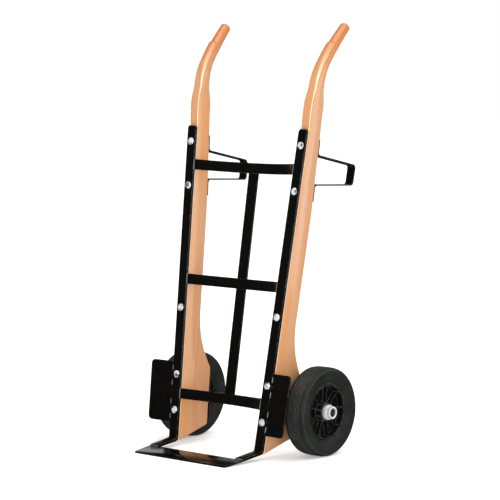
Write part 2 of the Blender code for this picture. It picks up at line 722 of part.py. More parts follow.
def make_axle_fittings(label, hub, parts, cutters, materials):
    """The washers, spacer and set collar that keep a wheel in its place on the axle."""
    bore = AXLE_RADIUS + RUNNING_GAP
    zinc = materials["zinc"]
    outer_start = HUB_OUTER + GAP
    end_start = outer_start + WASHER_HEIGHT + GAP
    collar_start = end_start + WASHER_HEIGHT + GAP
    pieces = {"outer_washer": (HUB_WASHER_RADIUS, outer_start, outer_start + WASHER_HEIGHT),
              "end_washer": (HUB_WASHER_RADIUS, end_start, end_start + WASHER_HEIGHT),
              "axle_spacer": (SPACER_RADIUS, SPACER_INNER, HUB_INNER - GAP),
              "set_collar": (COLLAR_RADIUS, collar_start, collar_start + COLLAR_LENGTH)}
    made = {}
    for piece, (radius, low, high) in pieces.items():
        profile = ring_profile(bore, radius, low, high)
        made[piece] = turned_object(f"{label}_{piece}", profile, FITTING_STEPS, parts, hub, zinc)
    middle = collar_start + COLLAR_LENGTH / 2
    hole = cylinders_mesh(f"{label}_screw_hole", [(0, COLLAR_RADIUS, middle)], SCREW_RADIUS + GAP, 0.016,
                          (0, 1, 0))
    cutter = add_cutter(f"{label}_screw_hole", hole, cutters, hub)
    add_boolean(made["set_collar"], cutter, "DIFFERENCE")
    length = COLLAR_RADIUS - bore - 2 * GAP
    centre = (0, bore + GAP + length / 2, middle)
    screw = cylinders_mesh(f"{label}_collar_screw", [centre], SCREW_RADIUS, length, (0, 1, 0))
    add_object(f"{label}_collar_screw", screw, parts, hub, materials["bar"])


def make_axle(parts, frame, material):
    """The solid axle, its ends chamfered, square to the middle plane."""
    chamfer = 0.0020
    end = AXLE_RADIUS - chamfer
    profile = [(0, AXLE_HALF), (end, AXLE_HALF), (AXLE_RADIUS, AXLE_HALF - chamfer),
               (AXLE_RADIUS, chamfer - AXLE_HALF), (end, -AXLE_HALF), (0, -AXLE_HALF)]
    axle = turned_object("axle", profile, FITTING_STEPS, parts, frame, material, closed=False)
    axle.location = (0, AXLE_BACK, AXLE_ALONG)
    axle.rotation_euler = (0, math.pi / 2, 0)


# ---------------------------------------------------------------- assembly

def make_hand_truck():
    clear_scene()
    parts = new_collection(NAME)
    cutters = new_collection("cutters")
    materials = make_materials()
    paint = materials["paint"]
    zinc = materials["zinc"]
    frame = add_empty("leaning_frame", parts, (0, RAIL_FOOT_Y, 0), (-LEAN, 0, 0))
    nut = nut_mesh(cutters)
    for label, side in SIDES:
        make_stile(label, side, parts, cutters, frame, materials["beech"])
        make_rail(label, side, parts, cutters, frame, paint)
        make_guard(label, side, parts, frame, paint)
        make_rest_bracket(label, side, parts, cutters, frame, paint)
        make_axle_carrier(label, side, parts, cutters, frame, paint)
        make_bolts(label, side, parts, frame, zinc)
        make_nuts(label, side, parts, frame, nut, zinc)
        centre = (side * WHEEL_TRACK_HALF, RAIL_FOOT_Y + AXLE_REACH, WHEEL_RADIUS)
        hub = add_empty(f"{label}_wheel_axis", parts, centre, (0, side * math.pi / 2, 0))
        make_wheel(label, hub, parts, cutters, materials)
        make_axle_fittings(label, hub, parts, cutters, materials)
    make_toe_plate(parts, frame, paint)
    for label, (along, bow) in CROSSBARS.items():
        make_crossbar(label, along, bow, parts, frame, paint)
    make_centre_strap(parts, frame, paint)
    make_axle(parts, frame, materials["bar"])


make_hand_truck()
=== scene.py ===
"""Looks of the beech hand truck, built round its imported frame.

Metres, +Z up, load side towards -Y. The leaning frame is drawn as (across, back, along): across
is x, back is measured square behind the rails' front face, and along runs up the rails from the
floor. Wheel pieces are drawn round their axle as (radius, turn, out), out being away from the
truck's middle plane.
"""

import json
import math

import bmesh
import bpy
import numpy as np
from mathutils import Matrix, Vector


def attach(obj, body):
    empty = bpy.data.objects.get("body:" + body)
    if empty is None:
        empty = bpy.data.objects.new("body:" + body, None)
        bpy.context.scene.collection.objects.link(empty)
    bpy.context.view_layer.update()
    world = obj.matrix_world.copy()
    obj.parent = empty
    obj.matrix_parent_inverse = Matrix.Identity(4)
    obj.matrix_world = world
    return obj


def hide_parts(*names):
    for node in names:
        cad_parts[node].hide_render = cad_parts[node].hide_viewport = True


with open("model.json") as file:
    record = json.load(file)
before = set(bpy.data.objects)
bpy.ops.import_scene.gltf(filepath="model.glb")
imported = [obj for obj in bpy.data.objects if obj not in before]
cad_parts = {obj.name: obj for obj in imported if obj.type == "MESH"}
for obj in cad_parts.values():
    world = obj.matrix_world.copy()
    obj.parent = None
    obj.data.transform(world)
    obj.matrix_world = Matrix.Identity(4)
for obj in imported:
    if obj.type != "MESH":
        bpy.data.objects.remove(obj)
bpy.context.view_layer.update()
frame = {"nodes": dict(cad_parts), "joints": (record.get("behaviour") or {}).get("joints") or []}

MM = 0.001
GAP = 0.3 * MM                     # clearance between neighbouring parts
SIDES = (("left", -1), ("right", 1))

# Stance
LEAN = math.radians(8.18)
SPLAY = 0.0510                     # rails run outwards by this much per metre along them
FOOT_HALF = 0.1572                 # middle plane to a rail's centreline, at the floor
WHEEL_RADIUS = 125 * MM
AXLE_REACH = 0.1757                # axle behind the rails' foot, along the floor
RIGHT_HUB = next(joint["pos_m"] for joint in frame["joints"] if joint["name"] == "right_wheel_spin")
TRACK_HALF, AXLE_Y, AXLE_Z = RIGHT_HUB
FOOT_Y = AXLE_Y - AXLE_REACH       # where the rails' front face meets the floor

# Flat bar
RAIL_WIDTH = 30 * MM
RAIL_THICK = 8 * MM
RAIL_TOP = 0.9225
RAIL_TOP_CORNER = 9 * MM
HEEL_RADIUS = 10 * MM
TOE_REACH = 0.148
TOE_SLOPE = math.radians(6.0)
BLADE_DEPTH = 73 * MM
BLADE_THICK = 5 * MM
BLADE_TAPER = 5 * MM
BLADE_CORNER = 6 * MM
CROSSBARS = {"bottom": (0.1527, 0.035), "middle": (0.4810, 0.040), "top": (0.8104, 0.045)}
CROSSBAR_THICK = 5 * MM
CROSSBAR_HEIGHT = 30 * MM
STRAP_THICK = 5 * MM
STRAP_WIDTH = 35 * MM
CUT_EDGE = 0.7 * MM                # how far the bars' cut edges are eased
EASE_STEPS = 3                     # stations round an eased edge

# Guards, brackets and carriers
GUARD_LOW = 0.069
GUARD_HIGH = 0.242
GUARD_OUT = 87.5 * MM
GUARD_SWEEP = 0.20
GUARD_THICK = 4 * MM
GUARD_CORNER = 12 * MM
REST_THICK = 4 * MM
REST_WIDTH = 27 * MM
REST_BACK = 0.243
REST_HEIGHTS = (0.901, 0.857, 0.848, 0.792, 0.774, 0.727)
REST_BEND = 10 * MM
CARRIER_THICK = 6 * MM
CARRIER_WIDTH = 30 * MM
CARRIER_SPAN = (0.085, 0.226)
CARRIER_STEP = 8 * MM              # the lug's slanted shoulders
LUG_RADIUS = 19.5 * MM

# Beech stiles
STILE_THICK = 30 * MM
STILE_FRONT = RAIL_THICK + GAP
FOOT_FRONT = 0.017
FOOT_BACK = 0.067
FOOT_EASE = 1.2 * MM
BOSS_BACK = 0.130
BOSS_TOP = 0.232
SHANK_FOOT = 0.385
SHANK_BACK = 72.2 * MM
SHANK_EASE = 0.0442                # the back comes in by this much per metre
SHANK_EASE_START = 0.700
BOARD_TOP = 0.990
NECK_SWELL = 2.5 * MM              # the board comes forward by this much above the rails' tops
SWELL_SPAN = (0.928, 0.955)
NECK_DEPTH = 39 * MM
NECK_HEIGHT = 1.045
NECK_MIDDLE = STILE_FRONT + 24.3 * MM
HANDLE_WIDTH = 33.5 * MM
GRIP_TIP = (0.1200, 1.2250)
GRIP_START = 0.74                  # share of the handle's sweep where the grip steps in at its front
GRIP_START_DEPTH = 36.5 * MM
GRIP_STEP = 3.5 * MM
GRIP_SHOULDER = 0.024              # share of the sweep that the step takes
GRIP_END_DEPTH = 32.5 * MM
EASED_EDGE = 3 * MM

# M8 fixings
BOLT_HEIGHTS = {"top": 0.8764, "upper": 0.7489, "middle": 0.3979, "lower": 0.2065, "bottom": 0.1046}
HEAD_RADIUS = 10.25 * MM
HEAD_HEIGHT = 5.2 * MM
THREAD_RADIUS = 4 * MM
THREAD_PITCH = 1.25 * MM
THREAD_LENGTH = 14 * MM
THREAD_END = 4 * MM                # what shows of a bolt behind its nut
NUT_FLATS = 13 * MM
NUT_HEIGHT = 6.5 * MM
NUT_SEAT = 0.7 * MM
WASHER_THICK = 1.6 * MM

# Wheels and axle
AXLE_RADIUS = 12.5 * MM
AXLE_HALF = 0.285
RIB_COUNT = 9
RIB_PHASE = math.radians(13.5)

# Camera
CAMERA_PLACE = (3.85589, FOOT_Y - 4.46941, 1.10463)
CAMERA_YAW = math.radians(39.84)
CAMERA_PITCH = math.radians(-5.138)
CAMERA_ROLL = math.radians(0.446)
CAMERA_LENS = 153.07               # millimetres, on a 36 mm wide sensor


# ---------------------------------------------------------------- places

def lean_point(across, back, along):
    """Leaning-frame coordinates turned by the lean about x, then moved to the rails' foot."""
    y = along * math.sin(LEAN) + back * math.cos(LEAN) + FOOT_Y
    z = along * math.cos(LEAN) - back * math.sin(LEAN)
    return np.stack(np.broadcast_arrays(across, y, z), axis=-1)


def axle_point(side, radius, turn, out):
    """Wheel coordinates to the shared frame: a circle about the axle, that far out along it."""
    x = side * (TRACK_HALF + out)
    y = AXLE_Y + radius * np.sin(turn)
    z = AXLE_Z - side * radius * np.cos(turn)
    return np.stack(np.broadcast_arrays(x, y, z), axis=-1)


def rail_x(side, along):
    """The centreline of a rail, which runs outwards in proportion to the height along it."""
    return side * (FOOT_HALF + SPLAY * along)


def toe_edge():
    """The blade's front edge as (back, along), on the floor at the toe's reach before the foot."""
    return np.array([-TOE_REACH * math.cos(LEAN), -TOE_REACH * math.sin(LEAN)])


def toe_point(across, inward, up):
    """Toe coordinates: inward runs from the blade's edge to the heel, up is square to the toe."""
    tilt = LEAN + TOE_SLOPE
    back, along = toe_edge()
    return lean_point(across, back + inward * math.cos(tilt) - up * math.sin(tilt),
                      along + inward * math.sin(tilt) + up * math.cos(tilt))


def stile_back(along):
    """Back edge of the shank: straight, then easing in towards the handle."""
    return SHANK_BACK - SHANK_EASE * np.maximum(0.0, along - SHANK_EASE_START)


# ---------------------------------------------------------------- skins

def unit(vectors):
    """Vectors divided by their length."""
    return vectors / np.linalg.norm(vectors, axis=-1, keepdims=True)


def full_turn(steps):
    """Evenly spaced angles once round a circle."""
    return np.linspace(0, 2 * math.pi, steps, endpoint=False)


def grid_quads(rows, columns, loop_rows=False):
    """Quads between neighbours of a grid of points stored row by row, each row a closed ring."""
    i, j = np.meshgrid(np.arange(rows if loop_rows else rows - 1), np.arange(columns), indexing="ij")
    below = (i + 1) % rows
    beside = (j + 1) % columns
    quads = np.stack([i * columns + j, below * columns + j,
                      below * columns + beside, i * columns + beside], axis=-1)
    return quads.reshape(-1, 4).tolist()


def tube_skin(rings):
    """Rings of points joined one to the next, the first and last closed by flat faces."""
    rows, columns = rings.shape[:2]
    last = (rows - 1) * columns
    caps = [list(range(columns))[::-1], list(range(last, last + columns))]
    return rings.reshape(-1, 3), grid_quads(rows, columns) + caps


def loop_skin(points):
    """A grid joined to itself both ways, like the skin of a ring."""
    rows, columns = points.shape[:2]
    return points.reshape(-1, 3), grid_quads(rows, columns, loop_rows=True)


def make_piece(name, skins, material, body, stands_for=(), sharp=35.0):
    """One mesh of closed skins, its doubles merged, its faces outwards and its gentle bends smooth."""
    start = np.cumsum([0] + [len(points) for points, _ in skins])
    points = np.concatenate([points for points, _ in skins])
    faces = [[corner + first for corner in face]
             for first, (_, quads) in zip(start.tolist(), skins) for face in quads]
    mesh = bpy.data.meshes.new(name)
    mesh.from_pydata(points.tolist(), [], faces)
    work = bmesh.new()
    work.from_mesh(mesh)
    bmesh.ops.remove_doubles(work, verts=work.verts, dist=2e-6)
    bmesh.ops.dissolve_degenerate(work, edges=work.edges, dist=1e-6)
    bmesh.ops.recalc_face_normals(work, faces=work.faces)
    work.to_mesh(mesh)
    work.free()
    mesh.shade_smooth()
    mesh.set_sharp_from_angle(angle=math.radians(sharp))
    mesh.materials.append(material)
    piece = bpy.data.objects.new(name, mesh)
    bpy.context.scene.collection.objects.link(piece)
    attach(piece, body)
    if stands_for:
        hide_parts(*stands_for)


def rounded_section(width, depth, radius, steps=4):
    """Points round rectangles with quarter-round corners, one rectangle to a row.

    A corner's point is its centre, half the side less the radius from the middle both ways,
    plus the radius turned through a quarter circle.
    """
    quarter = np.repeat(np.arange(4), steps + 1)
    turn = (quarter + np.tile(np.linspace(0, 1, steps + 1), 4)) * math.pi / 2
    sign_w = np.array([1, -1, -1, 1])[quarter]
    sign_d = np.array([1, 1, -1, -1])[quarter]
    width, depth, radius = (size[:, None] for size in np.broadcast_arrays(width, depth, radius))
    return (sign_w * (width / 2 - radius) + radius * np.cos(turn),
            sign_d * (depth / 2 - radius) + radius * np.sin(turn))


def fillet_path(corners, radius, steps=6):
    """An open path with its inner corners rounded: each arc touches both legs a tangent length away."""
    corners = np.asarray(corners, float)
    points = [corners[:1]]
    for before, corner, after in zip(corners, corners[1:], corners[2:]):
        inward = unit(before - corner)
        onward = unit(after - corner)
        half = math.acos(float(np.clip(inward @ onward, -1, 1))) / 2
        centre = corner + unit(inward + onward) * radius / math.sin(half)
        first = corner + inward * radius / math.tan(half) - centre
        last = corner + onward * radius / math.tan(half) - centre
        share = np.linspace(0, 1, steps + 1)[:, None]
        swing = math.pi - 2 * half
        blend = (np.sin((1 - share) * swing) * first + np.sin(share * swing) * last) / math.sin(swing)
        points.append(centre + blend)
    points.append(corners[-1:])
    return np.concatenate(points)


def eased_ends(path, edge):
    """A path with stations crowded at both ends, and how far a bar's section draws in at each.

    Along the last stretch of length edge the section draws in by a quarter circle.
    """
    turn = np.linspace(0, math.pi / 2, EASE_STEPS + 1)
    reach = edge * (1 - np.sin(turn))
    drawn = edge * (1 - np.cos(turn))
    stations = np.concatenate([path[0] + unit(path[1] - path[0]) * reach[::-1, None], path[1:-1],
                               path[-1] + unit(path[-2] - path[-1]) * reach[:, None]])
    inset = np.concatenate([drawn[::-1], np.zeros(len(path) - 2), drawn])
    return stations, inset


def path_normals(path):
    """Unit normals of a plane path, from the mean direction of the two legs at each point."""
    legs = unit(np.diff(path, axis=0))
    before = np.concatenate([legs[:1], legs])
    mean = unit(before + np.concatenate([legs, legs[-1:]]))
    stretch = 1 / np.maximum(0.5, (mean * before).sum(1))
    return np.stack([-mean[:, 1], mean[:, 0]], axis=1) * stretch[:, None]


def bar_skin(path, width, thick, place, edge=CUT_EDGE):
    """A flat bar bent along a plane path: a rounded rectangle carried square to the path.

    Place turns (across, first, second) into the shared frame, first and second being the path's
    own plane.
    """
    stations, inset = eased_ends(np.asarray(path, float), edge)
    normal = path_normals(stations)
    across, out = rounded_section(width - 2 * inset, thick - 2 * inset, np.maximum(edge - inset, 1e-7))
    first = stations[:, :1] + normal[:, :1] * out
    second = stations[:, 1:] + normal[:, 1:] * out
    return tube_skin(place(across, first, second))


def arc_points(centre, radius, start, end, steps):
    """Points on an arc between two angles in degrees."""
    turn = np.radians(np.linspace(start, end, steps + 1))
    return np.stack([centre[0] + radius * np.cos(turn), centre[1] + radius * np.sin(turn)], axis=1)


def plate_skin(outline, thick, place, edge=CUT_EDGE):
    """A flat plate: its outline carried round a half-round edge from back face to front face.

    At each step of the edge the outline draws in along its mitres, by the edge's own radius less
    a cosine of it, while the level rises by a sine.
    """
    outline = np.asarray(outline, float)
    onward = np.roll(outline, -1, axis=0)
    legs = unit(onward - outline)
    mean = legs + np.roll(legs, 1, axis=0)
    mitre = np.stack([-mean[:, 1], mean[:, 0]], axis=1) / (0.5 * (mean ** 2).sum(1))[:, None]
    area = np.sum(outline[:, 0] * onward[:, 1] - onward[:, 0] * outline[:, 1])
    mitre = mitre * np.sign(area)
    turn = np.linspace(0, math.pi / 2, EASE_STEPS + 1)
    drawn = edge * (1 - np.cos(turn))
    level = thick / 2 - edge + edge * np.sin(turn)
    drawn = np.concatenate([drawn[::-1], drawn])[:, None, None]
    level = np.concatenate([-level[::-1], level])[:, None]
    rings = outline[None] + mitre[None] * drawn
    return tube_skin(place(rings[..., 0], rings[..., 1], level + 0 * rings[..., 0]))


def round_edges(profile, radius, steps=3):
    """A closed profile of (radius, out) points with each corner cut to a small arc."""
    profile = np.asarray(profile, float)
    points = []
    for i, corner in enumerate(profile):
        legs = [profile[i - 1] - corner, profile[(i + 1) % len(profile)] - corner]
        reach = min([radius] + [np.linalg.norm(leg) * 0.45 for leg in legs])
        first, last = (corner + unit(leg) * reach for leg in legs)
        share = np.linspace(0, 1, steps + 1)[:, None]
        points.append((1 - share) ** 2 * first + 2 * share * (1 - share) * corner + share ** 2 * last)
    return np.concatenate(points)


def turned_skin(profile, place, steps=64):
    """A closed profile of (radius, out) points carried once round its axis."""
    profile = np.asarray(profile, float)
    return loop_skin(place(profile[None, :, 0], full_turn(steps)[:, None], profile[None, :, 1]))


def on_axle(side):
    """Places (radius, turn, out) on a side's half of the axle."""
    return lambda radius, turn, out: axle_point(side, radius, turn, out)


def on_bolt(side, along):
    """Places (radius, turn, out) on a bolt's line, out being forward of the rails' front face."""
    return lambda radius, turn, out: lean_point(
        rail_x(side, along) + radius * np.sin(turn), -out + 0 * turn, along + radius * np.cos(turn))


def on_rail(side):
    """Places (across, back, along) on a splayed rail's centreline."""
    return lambda across, back, along: lean_point(across + rail_x(side, along), back, along)


def side_on(side):
    """Places a plate drawn as (back, along) across a splayed rail's width."""
    return lambda back, along, across: lean_point(across + rail_x(side, along), back, along)


def bead_skin(start, end, radius):
    """A weld bead: a circle carried along a line, rippling by a sine and dying at both ends."""
    ripple = 1.6 * MM
    length = np.linalg.norm(end - start)
    rows = max(12, int(length / ripple * 6))
    share = np.linspace(0, 1, rows)[:, None]
    run = unit(end - start)
    first = unit(np.cross(run, [0.3, 0.5, 0.8]))
    second = np.cross(run, first)
    swell = np.minimum(1, 9 * share * (1 - share) * length / (8 * radius)) ** 0.5
    size = radius * swell * (1 + 0.13 * np.sin(share * length / ripple * 2 * math.pi)) + 2e-5
    turn = full_turn(10)[None, :, None]
    ring = np.cos(turn) * first + np.sin(turn) * second
    line = start + share * (end - start)
    return tube_skin(line[:, None, :] + ring * size[..., None])


# ---------------------------------------------------------------- material nodes

def add_node(tree, kind, inputs=None, **settings):
    """One shader node: its settings, then each named or numbered input as a value or a link."""
    made = tree.nodes.new(kind)
    for key, value in settings.items():
        setattr(made, key, value)
    for key, value in (inputs or {}).items():
        if isinstance(value, bpy.types.NodeSocket):
            tree.links.new(value, made.inputs[key])
        else:
            made.inputs[key].default_value = value
    return made


def new_group(name, inputs, outputs):
    """An empty shader node group with float inputs and the outputs asked for."""
    group = bpy.data.node_groups.new(name, "ShaderNodeTree")
    for label, value in inputs.items():
        kind = "NodeSocketVector" if value is None else "NodeSocketFloat"
        socket = group.interface.new_socket(label, in_out="INPUT", socket_type=kind)
        if value is not None:
            socket.default_value = value
    for label in outputs:
        group.interface.new_socket(label, in_out="OUTPUT", socket_type="NodeSocketFloat")
    return group, group.nodes.new("NodeGroupInput").outputs, group.nodes.new("NodeGroupOutput").inputs


def math_node(tree, operation, *given, clamp=False):
    """A math node on its inputs in order, values or links."""
    return add_node(tree, "ShaderNodeMath", dict(enumerate(given)), operation=operation,
                    use_clamp=clamp).outputs[0]


def times(tree, first, second, clamp=False):
    """The product of two values or links."""
    return math_node(tree, "MULTIPLY", first, second, clamp=clamp)


def object_place(tree):
    """Where a point is in its object, in metres."""
    return add_node(tree, "ShaderNodeTexCoord").outputs["Object"]


def noise(tree, place, scale, detail):
    """Soft noise between 0 and 1."""
    inputs = {"Vector": place, "Scale": scale, "Detail": detail}
    return add_node(tree, "ShaderNodeTexNoise", inputs).outputs["Fac"]


def ramp_between(tree, value, low, high):
    """Zero below low, one above high, smooth between."""
    return add_node(tree, "ShaderNodeMapRange", {"Value": value, "From Min": low, "From Max": high},
                    interpolation_type="SMOOTHSTEP").outputs[0]


def mix_colours(tree, share, first, second):
    """Two colours, values or links, mixed by a share."""
    made = add_node(tree, "ShaderNodeMix", {0: share}, data_type="RGBA")
    for socket, colour in ((made.inputs[6], first), (made.inputs[7], second)):
        if isinstance(colour, bpy.types.NodeSocket):
            tree.links.new(colour, socket)
        else:
            socket.default_value = (*colour, 1.0)
    return made.outputs[2]


def edge_masks_group():
    """Where a bevelled normal departs from the true one: Edge is that plain edge, used by the materials for
    painted edge highlights, and Mask is it broken up by noise, the patches of edge wearing.
    """
    group, given, put = new_group("edge_wear_and_highlight_masks", {"Reach": 0.001, "Amount": 1.0, "Patch Scale": 60.0},
                                  ["Mask", "Edge"])
    bevel = add_node(group, "ShaderNodeBevel", {"Radius": given["Reach"]}, samples=4)
    true_normal = add_node(group, "ShaderNodeNewGeometry").outputs["Normal"]
    facing = add_node(group, "ShaderNodeVectorMath", {0: bevel.outputs[0], 1: true_normal},
                      operation="DOT_PRODUCT").outputs["Value"]
    edge = ramp_between(group, math_node(group, "SUBTRACT", 1.0, facing), 0.01, 0.16)
    patch = noise(group, object_place(group), given["Patch Scale"], 4.0)
    patchy = times(group, edge, ramp_between(group, patch, 0.46, 0.62))
    group.links.new(times(group, patchy, given["Amount"], clamp=True), put["Mask"])
    group.links.new(edge, put["Edge"])
    return group


def dust_group():
    """Fine dust: the upward share of the normal times a cloudy noise."""
    group, given, put = new_group("settled_dust", {"Amount": 0.3, "Scale": 40.0}, ["Mask"])
    normal = add_node(group, "ShaderNodeNewGeometry").outputs["Normal"]
    upward = add_node(group, "ShaderNodeSeparateXYZ", {0: normal}).outputs["Z"]
    cloud = noise(group, object_place(group), given["Scale"], 6.0)
    share = times(group, ramp_between(group, upward, -0.2, 1.0), ramp_between(group, cloud, 0.35, 0.75))
    group.links.new(times(group, share, given["Amount"], clamp=True), put["Mask"])
    return group


def uneven_skin_group():
    """A fine uneven skin: a coarse and a fine noise added as a height, and a broad cloud."""
    group, given, put = new_group("uneven_skin", {"Scale": 400.0, "Fine Share": 0.4}, ["Height", "Cloud"])
    place = object_place(group)
    coarse = noise(group, place, given["Scale"], 2.0)
    fine = noise(group, place, times(group, given["Scale"], 4.3), 2.0)
    cloud = noise(group, place, times(group, given["Scale"], 0.06), 3.0)
    height = math_node(group, "ADD", coarse, times(group, fine, given["Fine Share"]))
    group.links.new(height, put["Height"])
    group.links.new(cloud, put["Cloud"])
    return group


def beech_grain_group():
    """Beech figure in coordinates whose third axis runs with the grain.

    Bands are growth rings: a sine of the distance across, bent by long noise. Flecks are the
    short dark rays: noise stretched along the grain and cut at a threshold. Pores are the same
    at a finer size, streaks at a much broader one.
    """
    group, given, put = new_group("beech_grain", {"Grain Place": None},
                                  ["Bands", "Flecks", "Pores", "Streak"])
    place = given["Grain Place"]

    def stretched(scale, detail):
        mapped = add_node(group, "ShaderNodeMapping", {"Vector": place, "Scale": scale}).outputs[0]
        return noise(group, mapped, 1.0, detail)

    parts = add_node(group, "ShaderNodeSeparateXYZ", {0: place}).outputs
    across = math_node(group, "ADD", times(group, parts["Y"], 300.0), times(group, parts["X"], 180.0))
    bent = math_node(group, "ADD", across, times(group, stretched((14, 14, 1.1), 3.0), 46.0))
    ring = math_node(group, "MULTIPLY_ADD", math_node(group, "SINE", bent), 0.5, 0.5)
    fade = ramp_between(group, stretched((30, 30, 2.5), 3.0), 0.3, 0.7)
    group.links.new(times(group, ring, fade), put["Bands"])
    group.links.new(ramp_between(group, stretched((22, 22, 1.6), 2.0), 0.36, 0.64), put["Streak"])
    group.links.new(ramp_between(group, stretched((950, 950, 85), 2.0), 0.61, 0.70), put["Flecks"])
    group.links.new(ramp_between(group, stretched((2600, 2600, 160), 1.0), 0.52, 0.75), put["Pores"])
    return group


def fill_group(tree, group, inputs):
    """A shared group placed in a material with its own values; gives its outputs."""
    return add_node(tree, "ShaderNodeGroup", inputs, node_tree=group).outputs


def new_material(name, constants):
    """A material whose Principled shader has these plain values."""
    material = bpy.data.materials.new(name)
    material.use_nodes = True
    shader = material.node_tree.nodes["Principled BSDF"]
    for socket, value in constants.items():
        shader.inputs[socket].default_value = value
    return material, material.node_tree, shader


def finish(tree, shader, colour, rough, height, depth):
    """The last links of a material: colour, roughness and a bump of that depth in metres."""
    bump = add_node(tree, "ShaderNodeBump", {"Height": height, "Distance": depth, "Strength": 1.0})
    tree.links.new(colour, shader.inputs["Base Color"])
    tree.links.new(rough, shader.inputs["Roughness"])
    tree.links.new(bump.outputs[0], shader.inputs["Normal"])


def beech_material(groups):
    """Clear-varnished beech: warm bands and flecks, front edges painted pale as a highlight, deeper orange
    grips.
    """
    material, tree, shader = new_material("varnished_beech", {"Coat Weight": 0.8, "Coat Roughness": 0.09,
                                                              "Specular IOR Level": 0.35})
    place = object_place(tree)
    upright = add_node(tree, "ShaderNodeMapping", {"Vector": place, "Rotation": (LEAN, 0, 0)}).outputs[0]
    grain = fill_group(tree, groups["grain"], {"Grain Place": upright})
    streak = mix_colours(tree, grain["Streak"], (0.650, 0.290, 0.102), (0.585, 0.318, 0.172))
    warm = mix_colours(tree, times(tree, grain["Bands"], 0.7), streak, (0.560, 0.243, 0.093))
    height = add_node(tree, "ShaderNodeSeparateXYZ", {0: place}).outputs["Z"]
    handled = times(tree, ramp_between(tree, height, 1.02, 1.19), 0.85)
    toned = mix_colours(tree, handled, warm, (0.560, 0.172, 0.030))
    flecked = mix_colours(tree, times(tree, grain["Flecks"], 0.28), toned, (0.330, 0.130, 0.052))
    fine = mix_colours(tree, times(tree, grain["Pores"], 0.16), flecked, (0.300, 0.120, 0.050))
    # Painted highlight: faces turned both sideways and to the front, the eased front edges, are painted
    # pale, less so up on the handle.
    normal = add_node(tree, "ShaderNodeNewGeometry").outputs["Normal"]
    facing = add_node(tree, "ShaderNodeSeparateXYZ", {0: normal}).outputs
    sideways = math_node(tree, "ABSOLUTE", facing["X"])
    slant = times(tree, sideways, times(tree, facing["Y"], -1.0))
    fading = math_node(tree, "SUBTRACT", 0.85, times(tree, handled, 0.75))
    ridge_highlight = times(tree, ramp_between(tree, slant, 0.28, 0.47), fading, clamp=True)
    painted_edge_highlight = mix_colours(tree, ridge_highlight, fine, (0.980, 0.780, 0.560))
    rough = math_node(tree, "MULTIPLY_ADD", grain["Pores"], 0.12, 0.38)
    dents = math_node(tree, "ADD", grain["Flecks"], grain["Pores"])
    finish(tree, shader, painted_edge_highlight, rough, times(tree, dents, -1.0), 0.03 * MM)
    return material


def enamel_material(groups, name, scuff_and_glint):
    """Glossy black enamel: orange peel, dusty upward faces, patchy edge wearing and every edge painted
    paler as a highlight, greyed all over by a share: on the welds partly scuffing, partly a painted glint."""
    material, tree, shader = new_material(name, {"Specular IOR Level": 0.32, "Coat Weight": 0.12,
                                                 "Coat Roughness": 0.04})
    edge_masks = fill_group(tree, groups["edge_masks"], {"Reach": 1.4 * MM, "Amount": 0.85, "Patch Scale": 70.0})
    dust = fill_group(tree, groups["dust"], {"Amount": 0.02, "Scale": 30.0})
    skin = fill_group(tree, groups["skin"], {"Scale": 260.0, "Fine Share": 0.10})
    black = mix_colours(tree, skin["Cloud"], (0.0018, 0.0016, 0.0013), (0.0036, 0.0032, 0.0025))
    # Painted highlight: every edge lighter by a fifth, plus the patchy edge mask.
    painted_edge_highlight = math_node(tree, "MULTIPLY_ADD", edge_masks["Edge"], 0.20, edge_masks["Mask"])
    scuff_and_edge_highlight = math_node(tree, "ADD", painted_edge_highlight, scuff_and_glint, clamp=True)
    worn_and_highlit = mix_colours(tree, scuff_and_edge_highlight, black, (0.340, 0.345, 0.360))
    dusty = mix_colours(tree, dust["Mask"], worn_and_highlit, (0.25, 0.24, 0.22))
    gloss = math_node(tree, "MULTIPLY_ADD", skin["Cloud"], 0.10, 0.12)
    rough = math_node(tree, "ADD", gloss, times(tree, edge_masks["Mask"], 0.25))
    finish(tree, shader, dusty, rough, skin["Height"], 0.03 * MM)
    return material


def zinc_material(groups, name, stain):
    """Bright zinc plate, lightly clouded, with dull grey stains by a share."""
    material, tree, shader = new_material(name, {"Metallic": 0.4})
    skin = fill_group(tree, groups["skin"], {"Scale": 900.0, "Fine Share": 0.5})
    edge_masks = fill_group(tree, groups["edge_masks"], {"Reach": 0.5 * MM, "Amount": 0.6, "Patch Scale": 300.0})
    plate = mix_colours(tree, skin["Cloud"], (0.86, 0.89, 0.94), (0.97, 0.98, 1.00))
    bright = mix_colours(tree, edge_masks["Mask"], plate, (0.93, 0.93, 0.93))
    cloud = noise(tree, object_place(tree), 95.0, 2.0)
    dulled = times(tree, ramp_between(tree, cloud, 0.53, 0.63), stain)
    stained = mix_colours(tree, dulled, bright, (0.16, 0.16, 0.17))
    rough = math_node(tree, "MULTIPLY_ADD", skin["Cloud"], 0.22, 0.12)
    finish(tree, shader, stained, rough, skin["Height"], 0.01 * MM)
    return material


def bar_steel_material(groups):
    """Plain turned bar: rings of tool marks about the axle and a brown bloom."""
    mark_pitch = 0.45 * MM
    material, tree, shader = new_material("turned_bar_steel", {"Metallic": 1.0})
    centred = add_node(tree, "ShaderNodeMapping", {"Vector": object_place(tree), "Scale": (0, 1, 1),
                                                   "Location": (0, -AXLE_Y, -AXLE_Z)}).outputs[0]
    reach = add_node(tree, "ShaderNodeVectorMath", {0: centred}, operation="LENGTH").outputs["Value"]
    marks = math_node(tree, "SINE", times(tree, reach, 2 * math.pi / mark_pitch))
    skin = fill_group(tree, groups["skin"], {"Scale": 500.0, "Fine Share": 0.5})
    bloom = ramp_between(tree, skin["Cloud"], 0.40, 0.62)
    tone = mix_colours(tree, bloom, (0.36, 0.31, 0.26), (0.23, 0.165, 0.115))
    rough = math_node(tree, "MULTIPLY_ADD", bloom, 0.20, 0.34)
    height = math_node(tree, "ADD", times(tree, marks, 0.5), skin["Height"])
    finish(tree, shader, tone, rough, height, 0.015 * MM)
    return material


